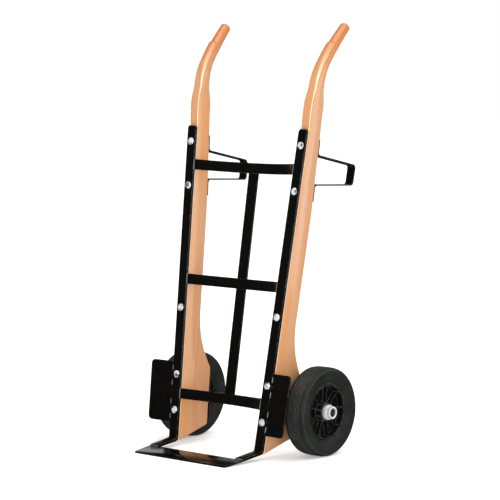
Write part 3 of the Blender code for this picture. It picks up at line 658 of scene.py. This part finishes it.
def rubber_material(groups):
    """Matt dark rubber with a grey-green bloom, scuffing in patches on its edges, and every edge, the tread
    grooves' too, painted paler as a highlight.
    """
    material, tree, shader = new_material("tyre_rubber", {"Specular IOR Level": 0.30})
    skin = fill_group(tree, groups["skin"], {"Scale": 520.0, "Fine Share": 0.7})
    edge_masks = fill_group(tree, groups["edge_masks"], {"Reach": 1.3 * MM, "Amount": 0.2, "Patch Scale": 90.0})
    dust = fill_group(tree, groups["dust"], {"Amount": 0.12, "Scale": 22.0})
    base = mix_colours(tree, ramp_between(tree, skin["Cloud"], 0.3, 0.7),
                       (0.0110, 0.0130, 0.0116), (0.0185, 0.0215, 0.0190))
    # Painted highlight: all edges lighter by 0.4, plus patchy scuffing.
    scuff_and_edge_highlight = math_node(tree, "MULTIPLY_ADD", edge_masks["Edge"], 0.40, edge_masks["Mask"])
    worn_and_highlit = mix_colours(tree, scuff_and_edge_highlight, base, (0.360, 0.370, 0.345))
    dusty = mix_colours(tree, dust["Mask"], worn_and_highlit, (0.120, 0.118, 0.105))
    rough = math_node(tree, "MULTIPLY_ADD", skin["Cloud"], 0.22, 0.50)
    finish(tree, shader, dusty, rough, skin["Height"], 0.09 * MM)
    return material


def plastic_material(groups):
    """Moulded black plastic: satin, faintly textured, paler along its thin edges: a painted edge highlight
    on the ribs, with patchy edge wearing.
    """
    material, tree, shader = new_material("moulded_plastic", {"Specular IOR Level": 0.45})
    skin = fill_group(tree, groups["skin"], {"Scale": 1400.0, "Fine Share": 0.4})
    edge_masks = fill_group(tree, groups["edge_masks"], {"Reach": 1.1 * MM, "Amount": 0.7, "Patch Scale": 60.0})
    base = mix_colours(tree, skin["Cloud"], (0.0018, 0.0021, 0.0019), (0.0040, 0.0044, 0.0041))
    # Painted highlight: every edge lighter by 0.65, plus patchy wearing.
    pale = math_node(tree, "MULTIPLY_ADD", edge_masks["Edge"], 0.65, edge_masks["Mask"])
    worn_and_highlit = mix_colours(tree, pale, base, (0.420, 0.415, 0.395))
    rough = math_node(tree, "MULTIPLY_ADD", skin["Cloud"], 0.16, 0.30)
    finish(tree, shader, worn_and_highlit, rough, skin["Height"], 0.02 * MM)
    return material


def make_materials():
    groups = {"edge_masks": edge_masks_group(), "dust": dust_group(), "skin": uneven_skin_group(),
              "grain": beech_grain_group()}
    return {"beech": beech_material(groups), "enamel": enamel_material(groups, "black_enamel", 0.0),
            # The welds' grey share stands partly for scuffing, partly for a painted glint.
            "weld": enamel_material(groups, "scuffed_welds_with_painted_glint", 0.4),
            "zinc": zinc_material(groups, "bright_zinc", 1.0),
            "clean_zinc": zinc_material(groups, "clean_zinc", 0.2), "bar": bar_steel_material(groups),
            "rubber": rubber_material(groups), "plastic": plastic_material(groups)}


# ---------------------------------------------------------------- steel frame

def enamel_piece(name, skin, enamel, node):
    """A black bar or plate of the frame, shown in place of one node."""
    make_piece(name, [skin], enamel, "frame", [node])


def rail_path(steps):
    """The rail's centreline as (back, along), from its top down and round the heel.

    With each station come its height on the top's rounded corners and how far the section draws
    in at the toe end. The corners take the place of the bar's plain eased end at the top.
    """
    tilt = LEAN + TOE_SLOPE
    inward = np.array([math.cos(tilt), math.sin(tilt)])
    middle = toe_edge() + np.array([-inward[1], inward[0]]) * RAIL_THICK / 2
    heel = middle + inward * (RAIL_THICK / 2 - middle[0]) / inward[0]
    bar_end = middle + inward * (BLADE_DEPTH + GAP)
    crown = RAIL_TOP - RAIL_TOP_CORNER
    bend = fillet_path([(RAIL_THICK / 2, crown), heel, bar_end], HEEL_RADIUS, 8)
    lower, inset = (column[EASE_STEPS + 1:] for column in eased_ends(bend, CUT_EDGE))
    rise = RAIL_TOP_CORNER * np.sin(np.linspace(math.pi / 2, 0, steps))
    stations = np.concatenate([np.stack([np.full(steps, RAIL_THICK / 2), crown + rise], 1), lower])
    climb = np.concatenate([rise, np.zeros(len(lower))])[:, None]
    return stations, climb, np.concatenate([np.zeros(steps), inset])[:, None]


def make_rail(label, side, enamel):
    """Flat bar down the front of the stile, bent at the heel into the toe's side bar.

    Its section is carried along the bend; at the top the half width follows a quarter circle,
    so the end has two rounded corners.
    """
    stations, climb, inset = rail_path(15)
    across, out = rounded_section(np.ones(1), np.full(1, RAIL_THICK), CUT_EDGE)
    past = np.clip((np.abs(out) - RAIL_THICK / 2) / CUT_EDGE + 1, 0, 1)
    drawn = CUT_EDGE * (1 - np.sqrt(1 - past ** 2))
    reach = RAIL_TOP_CORNER - drawn - inset
    level = np.minimum(climb, reach)
    half = RAIL_WIDTH / 2 - RAIL_TOP_CORNER + np.sqrt(np.maximum(reach ** 2 - level ** 2, 0))
    thick = np.sign(out) * np.minimum(np.abs(out), RAIL_THICK / 2 - inset)
    normal = path_normals(stations)
    back = stations[:, :1] + normal[:, :1] * thick
    along = stations[:, 1:] + normal[:, 1:] * thick - (climb - level)
    rings = on_rail(side)(np.sign(across) * half, back, along)
    enamel_piece(f"{label}_rail_bar", tube_skin(rings), enamel, f"{label}_rail")


def make_toe_blade(enamel):
    """The blade across the toe: its four-cornered outline drawn in a little towards the edge."""
    half = FOOT_HALF + RAIL_WIDTH / 2
    edge_half = half - BLADE_TAPER
    corners = [(-half, BLADE_DEPTH), (-edge_half, 0), (edge_half, 0), (half, BLADE_DEPTH)]

    def place(across, inward, level):
        return toe_point(across, inward, BLADE_THICK / 2 + level)

    skin = plate_skin(fillet_path(corners, BLADE_CORNER, 6), BLADE_THICK, place, edge=1.0 * MM)
    enamel_piece("toe_blade", skin, enamel, "toe_plate")


def make_crossbar(label, enamel):
    """A bar on edge, its section carried along a circle's arc bowed backwards between the rails.

    The ends are trimmed to the rails' splay.
    """
    along, bow = CROSSBARS[label]
    half = rail_x(1, along) - RAIL_WIDTH / 2 - GAP
    radius = (half ** 2 + bow ** 2) / (2 * bow)
    reach = math.degrees(math.asin(half / radius))
    path = arc_points((0, RAIL_THICK / 2 + bow - radius), radius, 90 + reach, 90 - reach, 40)

    def place(level, across, back):
        limit = half + SPLAY * level
        trimmed = np.clip(across * (1 + SPLAY * level / half), -limit, limit)
        return lean_point(trimmed, back, along + level)

    skin = bar_skin(path, CROSSBAR_HEIGHT, CROSSBAR_THICK, place)
    enamel_piece(f"{label}_crossbar_bar", skin, enamel, f"{label}_crossbar")


def make_centre_strap(enamel):
    """The upright strap, straight from the bottom crossbar's bow to the top one's."""
    low_along, low_bow = CROSSBARS["bottom"]
    high_along, high_bow = CROSSBARS["top"]
    touch = RAIL_THICK / 2 + CROSSBAR_THICK / 2 + GAP + STRAP_THICK / 2
    low = np.array([touch + low_bow, low_along])
    high = np.array([touch + high_bow, high_along])
    run = unit(high - low) * CROSSBAR_HEIGHT / 2
    skin = bar_skin([low - run, high + run], STRAP_WIDTH, STRAP_THICK, lean_point)
    enamel_piece("centre_strap_bar", skin, enamel, "centre_strap")


def make_guard(label, side, enamel):
    """The plate before a tyre: two rounded outer corners, swept forward in proportion to its reach."""
    inner = RAIL_WIDTH / 2 + GAP
    corners = [(inner, GUARD_LOW), (GUARD_OUT, GUARD_LOW), (GUARD_OUT, GUARD_HIGH), (inner, GUARD_HIGH)]

    def place(out, along, level):
        back = RAIL_THICK / 2 - GUARD_SWEEP * (out - inner) - level
        return lean_point(side * out + rail_x(side, along), back, along)

    skin = plate_skin(fillet_path(corners, GUARD_CORNER, 8), GUARD_THICK, place)
    enamel_piece(f"{label}_guard_plate", skin, enamel, f"{label}_wheel_guard")


def make_rest_bracket(label, side, enamel):
    """A strap bent four times, its section carried round the bends."""
    seat = GAP + REST_THICK / 2
    depths = [stile_back(along) + seat for along in REST_HEIGHTS]
    depths[2:4] = [REST_BACK, REST_BACK]
    path = fillet_path(list(zip(depths, REST_HEIGHTS)), REST_BEND, 8)
    skin = bar_skin(path, REST_WIDTH, REST_THICK, on_rail(side))
    enamel_piece(f"{label}_rest_strap", skin, enamel, f"{label}_rest_bracket")


def make_axle_carrier(label, side, enamel):
    """A flange on the boss with a lug round the axle: one side-on outline with eased edges."""
    centre = (AXLE_REACH * math.cos(LEAN) - WHEEL_RADIUS * math.sin(LEAN),
              AXLE_REACH * math.sin(LEAN) + WHEEL_RADIUS * math.cos(LEAN))
    face = BOSS_BACK + GAP
    back = face + CARRIER_THICK
    low, high = CARRIER_SPAN
    foot = centre[1] - LUG_RADIUS
    head = centre[1] + LUG_RADIUS
    outline = [(face, low), (back, low), (back, foot - CARRIER_STEP), (back + CARRIER_STEP, foot)]
    outline += arc_points(centre, LUG_RADIUS, -90, 90, 20).tolist()
    outline += [(back + CARRIER_STEP, head), (back, head + CARRIER_STEP), (back, high), (face, high)]
    skin = plate_skin(outline, CARRIER_WIDTH, side_on(side))
    enamel_piece(f"{label}_carrier_lug", skin, enamel, f"{label}_axle_carrier")


def lean_bead(across, back, along, radius):
    """A weld bead in the leaning frame; the coordinate that changes along it is a pair."""
    return bead_skin(*lean_point(*(np.asarray(value, float) for value in (across, back, along))), radius)


def side_welds(side):
    """One rail's beads: at each crossbar's end, down the guard and above and below the blade."""
    beads = []
    for along, _ in CROSSBARS.values():
        edge = rail_x(1, along) - RAIL_WIDTH / 2
        for level in (-CROSSBAR_HEIGHT / 2, CROSSBAR_HEIGHT / 2):
            x = side * (edge + SPLAY * level - 0.6 * MM)
            beads.append(lean_bead(x, (1.8 * MM, 7.0 * MM), along + level, 1.5 * MM))
        ends = (side * (edge - 1.6 * MM), side * (edge - 0.2 * MM))
        beads.append(lean_bead(ends, 1.2 * MM, (along - 14 * MM, along + 14 * MM), 1.3 * MM))
    for centre in (0.086, 0.128, 0.182, 0.224):
        along = np.array([centre - 8 * MM, centre + 8 * MM])
        x = rail_x(side, along) + side * (RAIL_WIDTH / 2 + GAP)
        beads.append(lean_bead(x, 1.0 * MM, along, 1.5 * MM))
    for up in (BLADE_THICK, 0.0):
        x = side * (FOOT_HALF + np.array([-14 * MM, 13 * MM]))
        beads.append(bead_skin(*toe_point(x, BLADE_DEPTH + 0.2 * MM, up + GAP), 1.3 * MM))
    return beads


def frame_welds(metal):
    """Short rippled beads where the bars meet."""
    beads = [bead for _, side in SIDES for bead in side_welds(side)]
    for along, bow in CROSSBARS.values():
        back = RAIL_THICK / 2 + bow + CROSSBAR_THICK / 2 + 0.8 * MM
        span = (along - 11 * MM, along + 11 * MM)
        beads += [lean_bead(side * (STRAP_WIDTH / 2 + 0.2 * MM), back, span, 1.2 * MM) for _, side in SIDES]
    make_piece("frame_welds", beads, metal, "frame")


# ---------------------------------------------------------------- beech stiles

def bezier(control, share):
    """A cubic curve through its first and last control points, tangent to the other two."""
    a, b, c, d = (np.asarray(point, float) for point in control)
    t = share[:, None]
    u = 1 - t
    return a * u ** 3 + 3 * b * u * u * t + 3 * c * u * t * t + d * t ** 3


def boss_back(along):
    """Back edge below the shank: upright at the boss, then a hollow sweep up to the shank.

    The sweep is a cubic curve whose share is found from the height by interpolation.
    """
    sweep = bezier([(BOSS_BACK, BOSS_TOP), (0.096, 0.278), (0.0745, 0.317), (SHANK_BACK, SHANK_FOOT)],
                   np.linspace(0, 1, 60))
    boss = np.where(along < BOSS_TOP, BOSS_BACK, np.interp(along, sweep[:, 1], sweep[:, 0]))
    return np.where(along > SHANK_FOOT, stile_back(along), boss)


def board_sections():
    """The flat board's sections, their front and back points starting on the slanted foot."""
    share = np.linspace(0, 1, 26)
    sweep_end = SHANK_FOOT + 5 * MM
    rise = np.concatenate([np.linspace(BOSS_TOP, sweep_end, 34)[1:],
                           np.linspace(sweep_end, BOARD_TOP, 50)[1:]])
    front = np.concatenate([FOOT_FRONT + (BOSS_TOP - FOOT_FRONT) * share, rise])
    back = np.concatenate([FOOT_BACK + (BOSS_TOP - FOOT_BACK) * share, rise])
    swell = STILE_FRONT - NECK_SWELL * np.interp(front, SWELL_SPAN, (0, 1))
    return (np.stack([swell, front], 1), np.stack([boss_back(back), back], 1),
            np.full(len(front), STILE_THICK), np.full(len(front), EASED_EDGE))


def handle_sections():
    """The handle's sections, rounder from the neck up, crowded near the grip's step."""
    step = GRIP_START - 0.02
    share = np.concatenate([np.linspace(0, step, 34), np.linspace(step, 1, 40)[1:]])
    front, back = handle_edges(share)
    depth = np.linalg.norm(back - front, axis=1)
    width = np.minimum(depth, STILE_THICK + (HANDLE_WIDTH - STILE_THICK) * np.clip(share / 0.3, 0, 1))
    return front, back, width, np.minimum(depth, width) / 2 * np.minimum(1, 0.45 + share * 1.2)


def neck_sections(board, handle):
    """Sections between board and handle: cubic edges that leave and arrive in line with both."""
    share = np.linspace(0, 1, 16)[1:-1]
    board_front, board_back = board[0][-1], board[1][-1]
    handle_front, handle_back = handle[0][0], handle[1][0]
    front = [board_front, board_front + (0, 0.020), handle_front - (0.0022, 0.022), handle_front]
    back = [board_back, board_back + (-0.001, 0.020), handle_back - (-0.0008, 0.020), handle_back]
    smooth = share * share * (3 - 2 * share)
    return (bezier(front, share), bezier(back, share), np.full(len(share), STILE_THICK),
            EASED_EDGE + (handle[3][0] - EASED_EDGE) * smooth)


def dome_sections(front, back):
    """The grip's rounded end: sections shrinking by a cosine as they rise by a sine."""
    turn = np.radians([12, 24, 36, 48, 60, 70, 79, 86])[:, None]
    half = (back - front) / 2
    middle = (front + back) / 2 + np.array([-half[1], half[0]]) * 0.60 * np.sin(turn)
    size = np.linalg.norm(half) * np.cos(turn[:, 0])
    return middle - half * np.cos(turn), middle + half * np.cos(turn), 2 * size, size


def stile_sections():
    """Front and back points, width and corner radius of every section from foot to grip end."""
    board = board_sections()
    handle = handle_sections()
    neck = neck_sections(board, handle)
    dome = dome_sections(handle[0][-1], handle[1][-1])
    return [np.concatenate(parts) for parts in zip(board, neck, handle, dome)]


def handle_curve():
    """The handle's centreline from the neck to the grip's end."""
    neck = np.array([NECK_MIDDLE, NECK_HEIGHT])
    end = np.array(GRIP_TIP)
    return [neck, neck + (0, 0.050), end + (-0.0649, -0.0891), end]


def handle_edges(share):
    """Front and back of the handle: the centreline less and plus half its depth.

    The depth tapers from neck to grip and on to the end; at the grip the front alone steps in
    over a short shoulder. Square to the line is found from a short chord about each point.
    """
    depth = np.interp(share, (0, GRIP_START, 1), (NECK_DEPTH, GRIP_START_DEPTH, GRIP_END_DEPTH))[:, None]
    step = GRIP_STEP * np.clip((share - GRIP_START) / GRIP_SHOULDER, 0, 1)[:, None]
    ahead = bezier(handle_curve(), np.minimum(1, share + 0.01))
    run = unit(ahead - bezier(handle_curve(), share - 0.01))
    square = np.stack([run[:, 1], -run[:, 0]], 1)
    centre = bezier(handle_curve(), share)
    return centre - square * (depth / 2 - step), centre + square * depth / 2


def make_stile(label, side, beech):
    """A rounded rectangle carried from foot to grip: its width stands across, its depth runs from
    the front point to the back point of each section.

    The foot's section is repeated a little drawn in, so the cut end has an eased edge.
    """
    front, back, width, corner = (np.concatenate([part[:1], part]) for part in stile_sections())
    depth = np.linalg.norm(back - front, axis=1)
    run = unit(back - front)
    inset = np.concatenate([[FOOT_EASE], np.zeros(len(depth) - 1)])
    lift = np.concatenate([[0.0, FOOT_EASE], np.zeros(len(depth) - 2)])[:, None]
    across, deep = rounded_section(width - 2 * inset, depth - 2 * inset, corner - inset, 7)
    middle = (front + back) / 2
    place = on_rail(side)
    rings = place(across, middle[:, :1] + run[:, :1] * deep, middle[:, 1:] + run[:, 1:] * deep + lift)
    make_piece(f"{label}_stile_wood", [tube_skin(rings)], beech, "frame", [f"{label}_stile"],
               sharp=50.0)


# ---------------------------------------------------------------- fixings

def clamped_depth(name):
    """How far behind the rail's front face the last clamped surface lies at a bolt."""
    if name in ("lower", "bottom"):
        return BOSS_BACK + GAP + CARRIER_THICK
    clamped = WASHER_THICK if name == "middle" else REST_THICK
    return float(stile_back(BOLT_HEIGHTS[name])) + GAP + clamped


def bolt_head_profile():
    """Mushroom head: a shallow dome over a short rim, with a small fillet where they meet."""
    rim = 1.2 * MM
    rise = HEAD_HEIGHT - rim
    dome = (HEAD_RADIUS ** 2 + rise ** 2) / (2 * rise)
    reach = math.degrees(math.asin(HEAD_RADIUS / dome))
    top = arc_points((0, HEAD_HEIGHT - dome), dome, 90, 90 - reach, 12)[:-1]
    side_wall = [(HEAD_RADIUS - 0.1 * MM, rim + 0.1 * MM), (HEAD_RADIUS, rim - 0.25 * MM),
                 (HEAD_RADIUS, 0.2 * MM), (HEAD_RADIUS - 0.25 * MM, 0.0)]
    return np.concatenate([top, side_wall])


def bolt_skin(side, name):
    """Head, hidden shank and threaded end of one bolt.

    The thread's radius is a triangle wave of the distance along plus the turn, one pitch long.
    """
    end = clamped_depth(name) + NUT_SEAT + NUT_HEIGHT + THREAD_END
    thread_start = THREAD_LENGTH - end
    shank_radius = THREAD_RADIUS - 0.4 * MM
    turn = full_turn(40)[None, :]
    out = np.linspace(thread_start, -end, 90)[:, None]
    wave = np.abs(((out / THREAD_PITCH + turn / (2 * math.pi)) % 1) - 0.5) * 2
    near_end = np.clip((end + out) / (0.8 * MM), 0, 1)
    radius = THREAD_RADIUS - 0.45 * MM * wave - 0.9 * MM * (1 - near_end)
    plain = np.concatenate([bolt_head_profile(), [(shank_radius, 0.0), (shank_radius, thread_start)]])
    place = on_bolt(side, BOLT_HEIGHTS[name])
    return tube_skin(np.concatenate([place(plain[:, :1], turn, plain[:, 1:]), place(radius, turn, out)]))


def nut_skin(side, name):
    """A hexagon nut: at each level the radius is the lesser of the hexagon's and the chamfer cone's."""
    turn = full_turn(96)[None, :]
    apothem = NUT_FLATS / 2
    hexagon = apothem / np.cos((turn % (math.pi / 3)) - math.pi / 6)
    share = np.linspace(0, 1, 11)[:, None]
    from_end = np.minimum(share, 1 - share)
    wall = np.minimum(hexagon, from_end * NUT_HEIGHT / math.tan(math.radians(30)) + apothem * 0.97)
    bore = THREAD_RADIUS - 0.2 * MM + 0.7 * MM * np.clip(1 - from_end * 12, 0, 1)
    out = -clamped_depth(name) - NUT_SEAT - share * NUT_HEIGHT
    place = on_bolt(side, BOLT_HEIGHTS[name])
    inside = place(bore[::-1] + 0 * turn, turn, out[::-1])
    return loop_skin(np.concatenate([place(wall, turn, out), inside]))


def make_fixings(label, side, zinc):
    """Five bolts and their nuts down one stile, and the washer under the middle nut."""
    for name in BOLT_HEIGHTS:
        make_piece(f"{label}_{name}_mushroom_bolt", [bolt_skin(side, name)], zinc, "frame",
                   [f"{label}_{name}_bolt"], sharp=40.0)
        make_piece(f"{label}_{name}_hex_nut", [nut_skin(side, name)], zinc, "frame",
                   [f"{label}_{name}_nut"], sharp=25.0)
    along = BOLT_HEIGHTS["middle"]
    face = -float(stile_back(along)) - 2 * GAP
    bore, rim = 4.4 * MM, 10.5 * MM
    corners = [(bore, face), (rim, face), (rim, face - WASHER_THICK), (bore, face - WASHER_THICK)]
    washer = turned_skin(round_edges(corners, 0.4 * MM), on_bolt(side, along), 40)
    make_piece(f"{label}_flat_washer", [washer], zinc, "frame", [f"{label}_bolt_washer"])


# ---------------------------------------------------------------- wheels and axle

def mirrored(half):
    """A half section of (radius, out) points in millimetres, and its mirror image run backwards."""
    return half + [(radius, -out) for radius, out in reversed(half)]


def tyre_section():
    """Solid tyre section, from the rim seat out over the sidewall and across the grooved tread.

    The shoulder is an arc that swells by a narrow bell where the mould halves met.
    """
    crown = WHEEL_RADIUS / MM
    groove = 2.2
    wall = [(77.2, 19.0), (77.2, 22.0), (81.2, 23.4), (82.0, 25.6), (86.5, 28.6), (92.0, 30.6),
            (98.0, 32.0), (104.5, 33.0), (109.0, 33.3)]
    turn = np.radians(np.linspace(4, 62, 30))
    swell = 10.4 + 0.7 * np.exp(-((turn - math.radians(21)) / math.radians(3)) ** 2)
    shoulder = list(zip(114.0 + swell * np.sin(turn), 22.9 + swell * np.cos(turn)))
    tread = [(crown - 0.3, 18.5)]
    for middle in (16.0, 8.0):
        for step, depth in ((1.6, 0.0), (1.0, groove), (-1.0, groove), (-1.6, 0.0)):
            out = middle + step
            tread.append((crown - 0.25 * (out / 18) ** 2 - depth, out))
    tread += [(crown, 1.6), (crown - groove, 1.0)]
    return np.array(mirrored(wall + shoulder + tread)) * MM


def rim_section():
    """Moulded rim section: barrel with a rolled lip, web and hub, with generous fillets."""
    seat, wall, lip = 76.7, 73.2, 80.2
    bore, hub = 15.8, 25.5
    outer_hub = [(bore, 21.6), (hub - 1.2, 21.6), (hub, 20.4)]
    barrel = [(hub + 1.0, 6.0), (hub + 3.0, 3.2), (wall - 5.0, 3.2), (wall - 1.6, 5.0), (wall, 9.0),
              (wall + 0.3, 21.0), (wall + 0.9, 23.6), (wall + 2.2, 24.6), (lip - 1.2, 24.6),
              (lip, 23.8), (lip, 22.9), (seat, 21.4)]
    inner_hub = [(hub, -36.4), (hub - 1.2, -37.6), (bore, -37.6)]
    return np.array(outer_hub + mirrored(barrel) + inner_hub) * MM


def rib_skin(side, number):
    """A thin rib from hub to barrel: a rounded bar lower and thinner by a sine at mid length."""
    turn = RIB_PHASE + 2 * math.pi * number / RIB_COUNT
    share = np.linspace(0, 1, 12)
    dip = np.sin(share * math.pi)
    half_height = (17.8 - 3.0 * dip + 1.2 * share) * MM
    wide, high = rounded_section((2.2 - 0.5 * dip) * MM, 2 * half_height, 0.7 * MM, 3)
    radius = (24.5 + (74.0 - 24.5) * share[:, None]) * MM + 0 * wide
    return tube_skin(axle_point(side, radius, turn + wide / radius, high))


def refinish(node, material):
    """Gives a frame node that stays in view one of the finishes made here."""
    slots = frame["nodes"][node].data.materials
    slots.clear()
    slots.append(material)


def make_wheel(label, side, materials):
    """Tyre and ribbed rim turned about the axle, on the bush."""
    place = on_axle(side)
    body = f"{label}_wheel"
    make_piece(f"{label}_solid_tyre", [turned_skin(tyre_section(), place, 160)], materials["rubber"], body,
               [f"{label}_tyre"], sharp=38.0)
    ribs = [rib_skin(side, number) for number in range(RIB_COUNT)]
    make_piece(f"{label}_ribbed_rim", [turned_skin(rim_section(), place, 128)] + ribs,
               materials["plastic"], body,
               [f"{label}_{part}" for part in ("rim", "web", "outer_spokes", "inner_spokes")])
    refinish(f"{label}_bush", materials["bar"])


def make_axle_fittings(label, side, materials):
    """Washers, spacer and set collar as turned rings with eased edges, and the collar's screw.

    Each ring is its radius, where it starts and ends out along the axle, and its eased edge, in
    millimetres.
    """
    bore = AXLE_RADIUS / MM + 0.2
    rings = {"outer_washer": (21.0, 21.9, 26.7, 0.7), "end_washer": (21.0, 27.0, 31.5, 0.7),
             "axle_spacer": (17.0, -60.5, -38.3, 0.8), "set_collar": (17.5, 31.8, 44.3, 1.1)}
    for node, (radius, low, high, edge) in rings.items():
        corners = np.array([(bore, low), (bore, high), (radius, high), (radius, low)]) * MM
        ring = turned_skin(round_edges(corners, edge * MM, 4), on_axle(side), 72)
        make_piece(f"{label}_{node}_ring", [ring], materials["clean_zinc"], "frame",
                   [f"{label}_{node}"])
    refinish(f"{label}_collar_screw", materials["bar"])


def make_axle(bar):
    """The solid axle with chamfered, slightly dished ends, turned about its own line."""
    end, rim = AXLE_HALF / MM, AXLE_RADIUS / MM
    half = [(0.05, end - 0.5), (1.4, end - 0.4), (2.0, end - 0.1), (rim - 2.3, end), (rim - 2.0, end - 0.1),
            (rim - 0.1, end - 1.9), (rim, end - 2.2)]
    radius, out = (np.array(mirrored(half)) * MM).T[..., None]
    turn = full_turn(72)[None, :]
    rings = np.stack(np.broadcast_arrays(out, AXLE_Y + radius * np.cos(turn),
                                         AXLE_Z + radius * np.sin(turn)), axis=-1)
    make_piece("axle_bar", [tube_skin(rings)], bar, "frame", ["axle"])


# ---------------------------------------------------------------- stage

def make_floor():
    """A wide pale floor, lit through a little and kept out of the black paint's reflections."""
    mesh = bpy.data.meshes.new("floor")
    size = 30.0
    corners = [(-size, -size, 0), (size, -size, 0), (size, size, 0), (-size, size, 0)]
    mesh.from_pydata(corners, [], [(0, 1, 2, 3)])
    material, _, _ = new_material("pale_floor", {"Roughness": 0.9, "Specular IOR Level": 0.1,
                                                 "Base Color": (0.92, 0.92, 0.92, 1.0),
                                                 "Emission Color": (1.0, 1.0, 1.0, 1.0),
                                                 "Emission Strength": 0.30})
    mesh.materials.append(material)
    floor = bpy.data.objects.new("floor", mesh)
    bpy.context.scene.collection.objects.link(floor)
    floor.visible_glossy = False


def make_world():
    """White surroundings to the camera, dimmer as fill light and far dimmer in reflections."""
    world = bpy.data.worlds.new("studio")
    bpy.context.scene.world = world
    world.use_nodes = True
    tree = world.node_tree
    background = tree.nodes["Background"]
    fill, glossy, seen = 0.90, 0.035, 1.0
    path = add_node(tree, "ShaderNodeLightPath").outputs
    dimmed = add_node(tree, "ShaderNodeMix", {0: path["Is Glossy Ray"], 2: fill, 3: glossy}).outputs[0]
    strength = add_node(tree, "ShaderNodeMix", {0: path["Is Camera Ray"], 2: dimmed, 3: seen}).outputs[0]
    background.inputs["Color"].default_value = (1, 1, 1, 1)
    tree.links.new(strength, background.inputs["Strength"])


def add_softbox(name, place, target, width, height, power):
    """An area light at a place, facing a target."""
    light = bpy.data.lights.new(name, "AREA")
    light.shape = "RECTANGLE"
    light.size = width
    light.size_y = height
    light.energy = power
    lamp = bpy.data.objects.new(name, light)
    lamp.location = place
    lamp.visible_camera = False
    lamp.rotation_euler = (Vector(target) - Vector(place)).to_track_quat("-Z", "Y").to_euler()
    bpy.context.scene.collection.objects.link(lamp)


def make_lights():
    """A broad soft sun that lights the floor evenly, and softboxes that shape the glossy parts."""
    sun = bpy.data.lights.new("soft_sun", "SUN")
    sun.energy = 0.9
    sun.angle = math.radians(70)
    lamp = bpy.data.objects.new("soft_sun", sun)
    lamp.rotation_euler = (math.radians(-18), math.radians(14), 0)
    bpy.context.scene.collection.objects.link(lamp)
    middle = (0.0, 0.0, 0.5)
    add_softbox("camera_side_box", (2.9, -3.7, 1.7), middle, 0.5, 0.8, 26)
    add_softbox("camera_side_card", (3.4, -4.0, 1.0), middle, 2.6, 2.2, 30)
    add_softbox("right_box", (3.6, -0.4, 2.3), middle, 0.6, 1.2, 6)
    add_softbox("side_strip", (2.3, 2.4, 0.6), (0.2, -0.1, 0.4), 0.4, 1.4, 4)
    add_softbox("top_box", (0.2, -0.6, 3.4), middle, 1.6, 1.6, 16)
    add_softbox("back_card", (-3.2, 3.1, 1.25), (-0.2, -0.2, 0.0), 2.4, 1.6, 8)


def make_camera():
    """A long lens low on the truck's front right, looking slightly down."""
    ahead = math.cos(CAMERA_PITCH)
    look = Vector((-math.sin(CAMERA_YAW) * ahead, math.cos(CAMERA_YAW) * ahead, math.sin(CAMERA_PITCH)))
    level = look.cross(Vector((0, 0, 1))).normalized()
    upward = level.cross(look)
    right = math.cos(CAMERA_ROLL) * level + math.sin(CAMERA_ROLL) * upward
    top = -math.sin(CAMERA_ROLL) * level + math.cos(CAMERA_ROLL) * upward
    data = bpy.data.cameras.new("camera")
    data.sensor_width = 36.0
    data.lens = CAMERA_LENS
    camera = bpy.data.objects.new("camera", data)
    camera.matrix_world = (Matrix.Translation(CAMERA_PLACE)
                           @ Matrix((right, top, -look)).transposed().to_4x4())
    bpy.context.scene.collection.objects.link(camera)
    bpy.context.scene.camera = camera
    bpy.context.scene.view_settings.view_transform = "Standard"


# ---------------------------------------------------------------- assembly

def make_truck():
    materials = make_materials()
    enamel = materials["enamel"]
    for label, side in SIDES:
        make_stile(label, side, materials["beech"])
        make_rail(label, side, enamel)
        make_guard(label, side, enamel)
        make_rest_bracket(label, side, enamel)
        make_axle_carrier(label, side, enamel)
        make_fixings(label, side, materials["zinc"])
        make_wheel(label, side, materials)
        make_axle_fittings(label, side, materials)
    make_toe_blade(enamel)
    for label in CROSSBARS:
        make_crossbar(label, enamel)
    make_centre_strap(enamel)
    frame_welds(materials["weld"])
    make_axle(materials["bar"])


make_truck()
make_floor()
make_world()
make_lights()
make_camera()
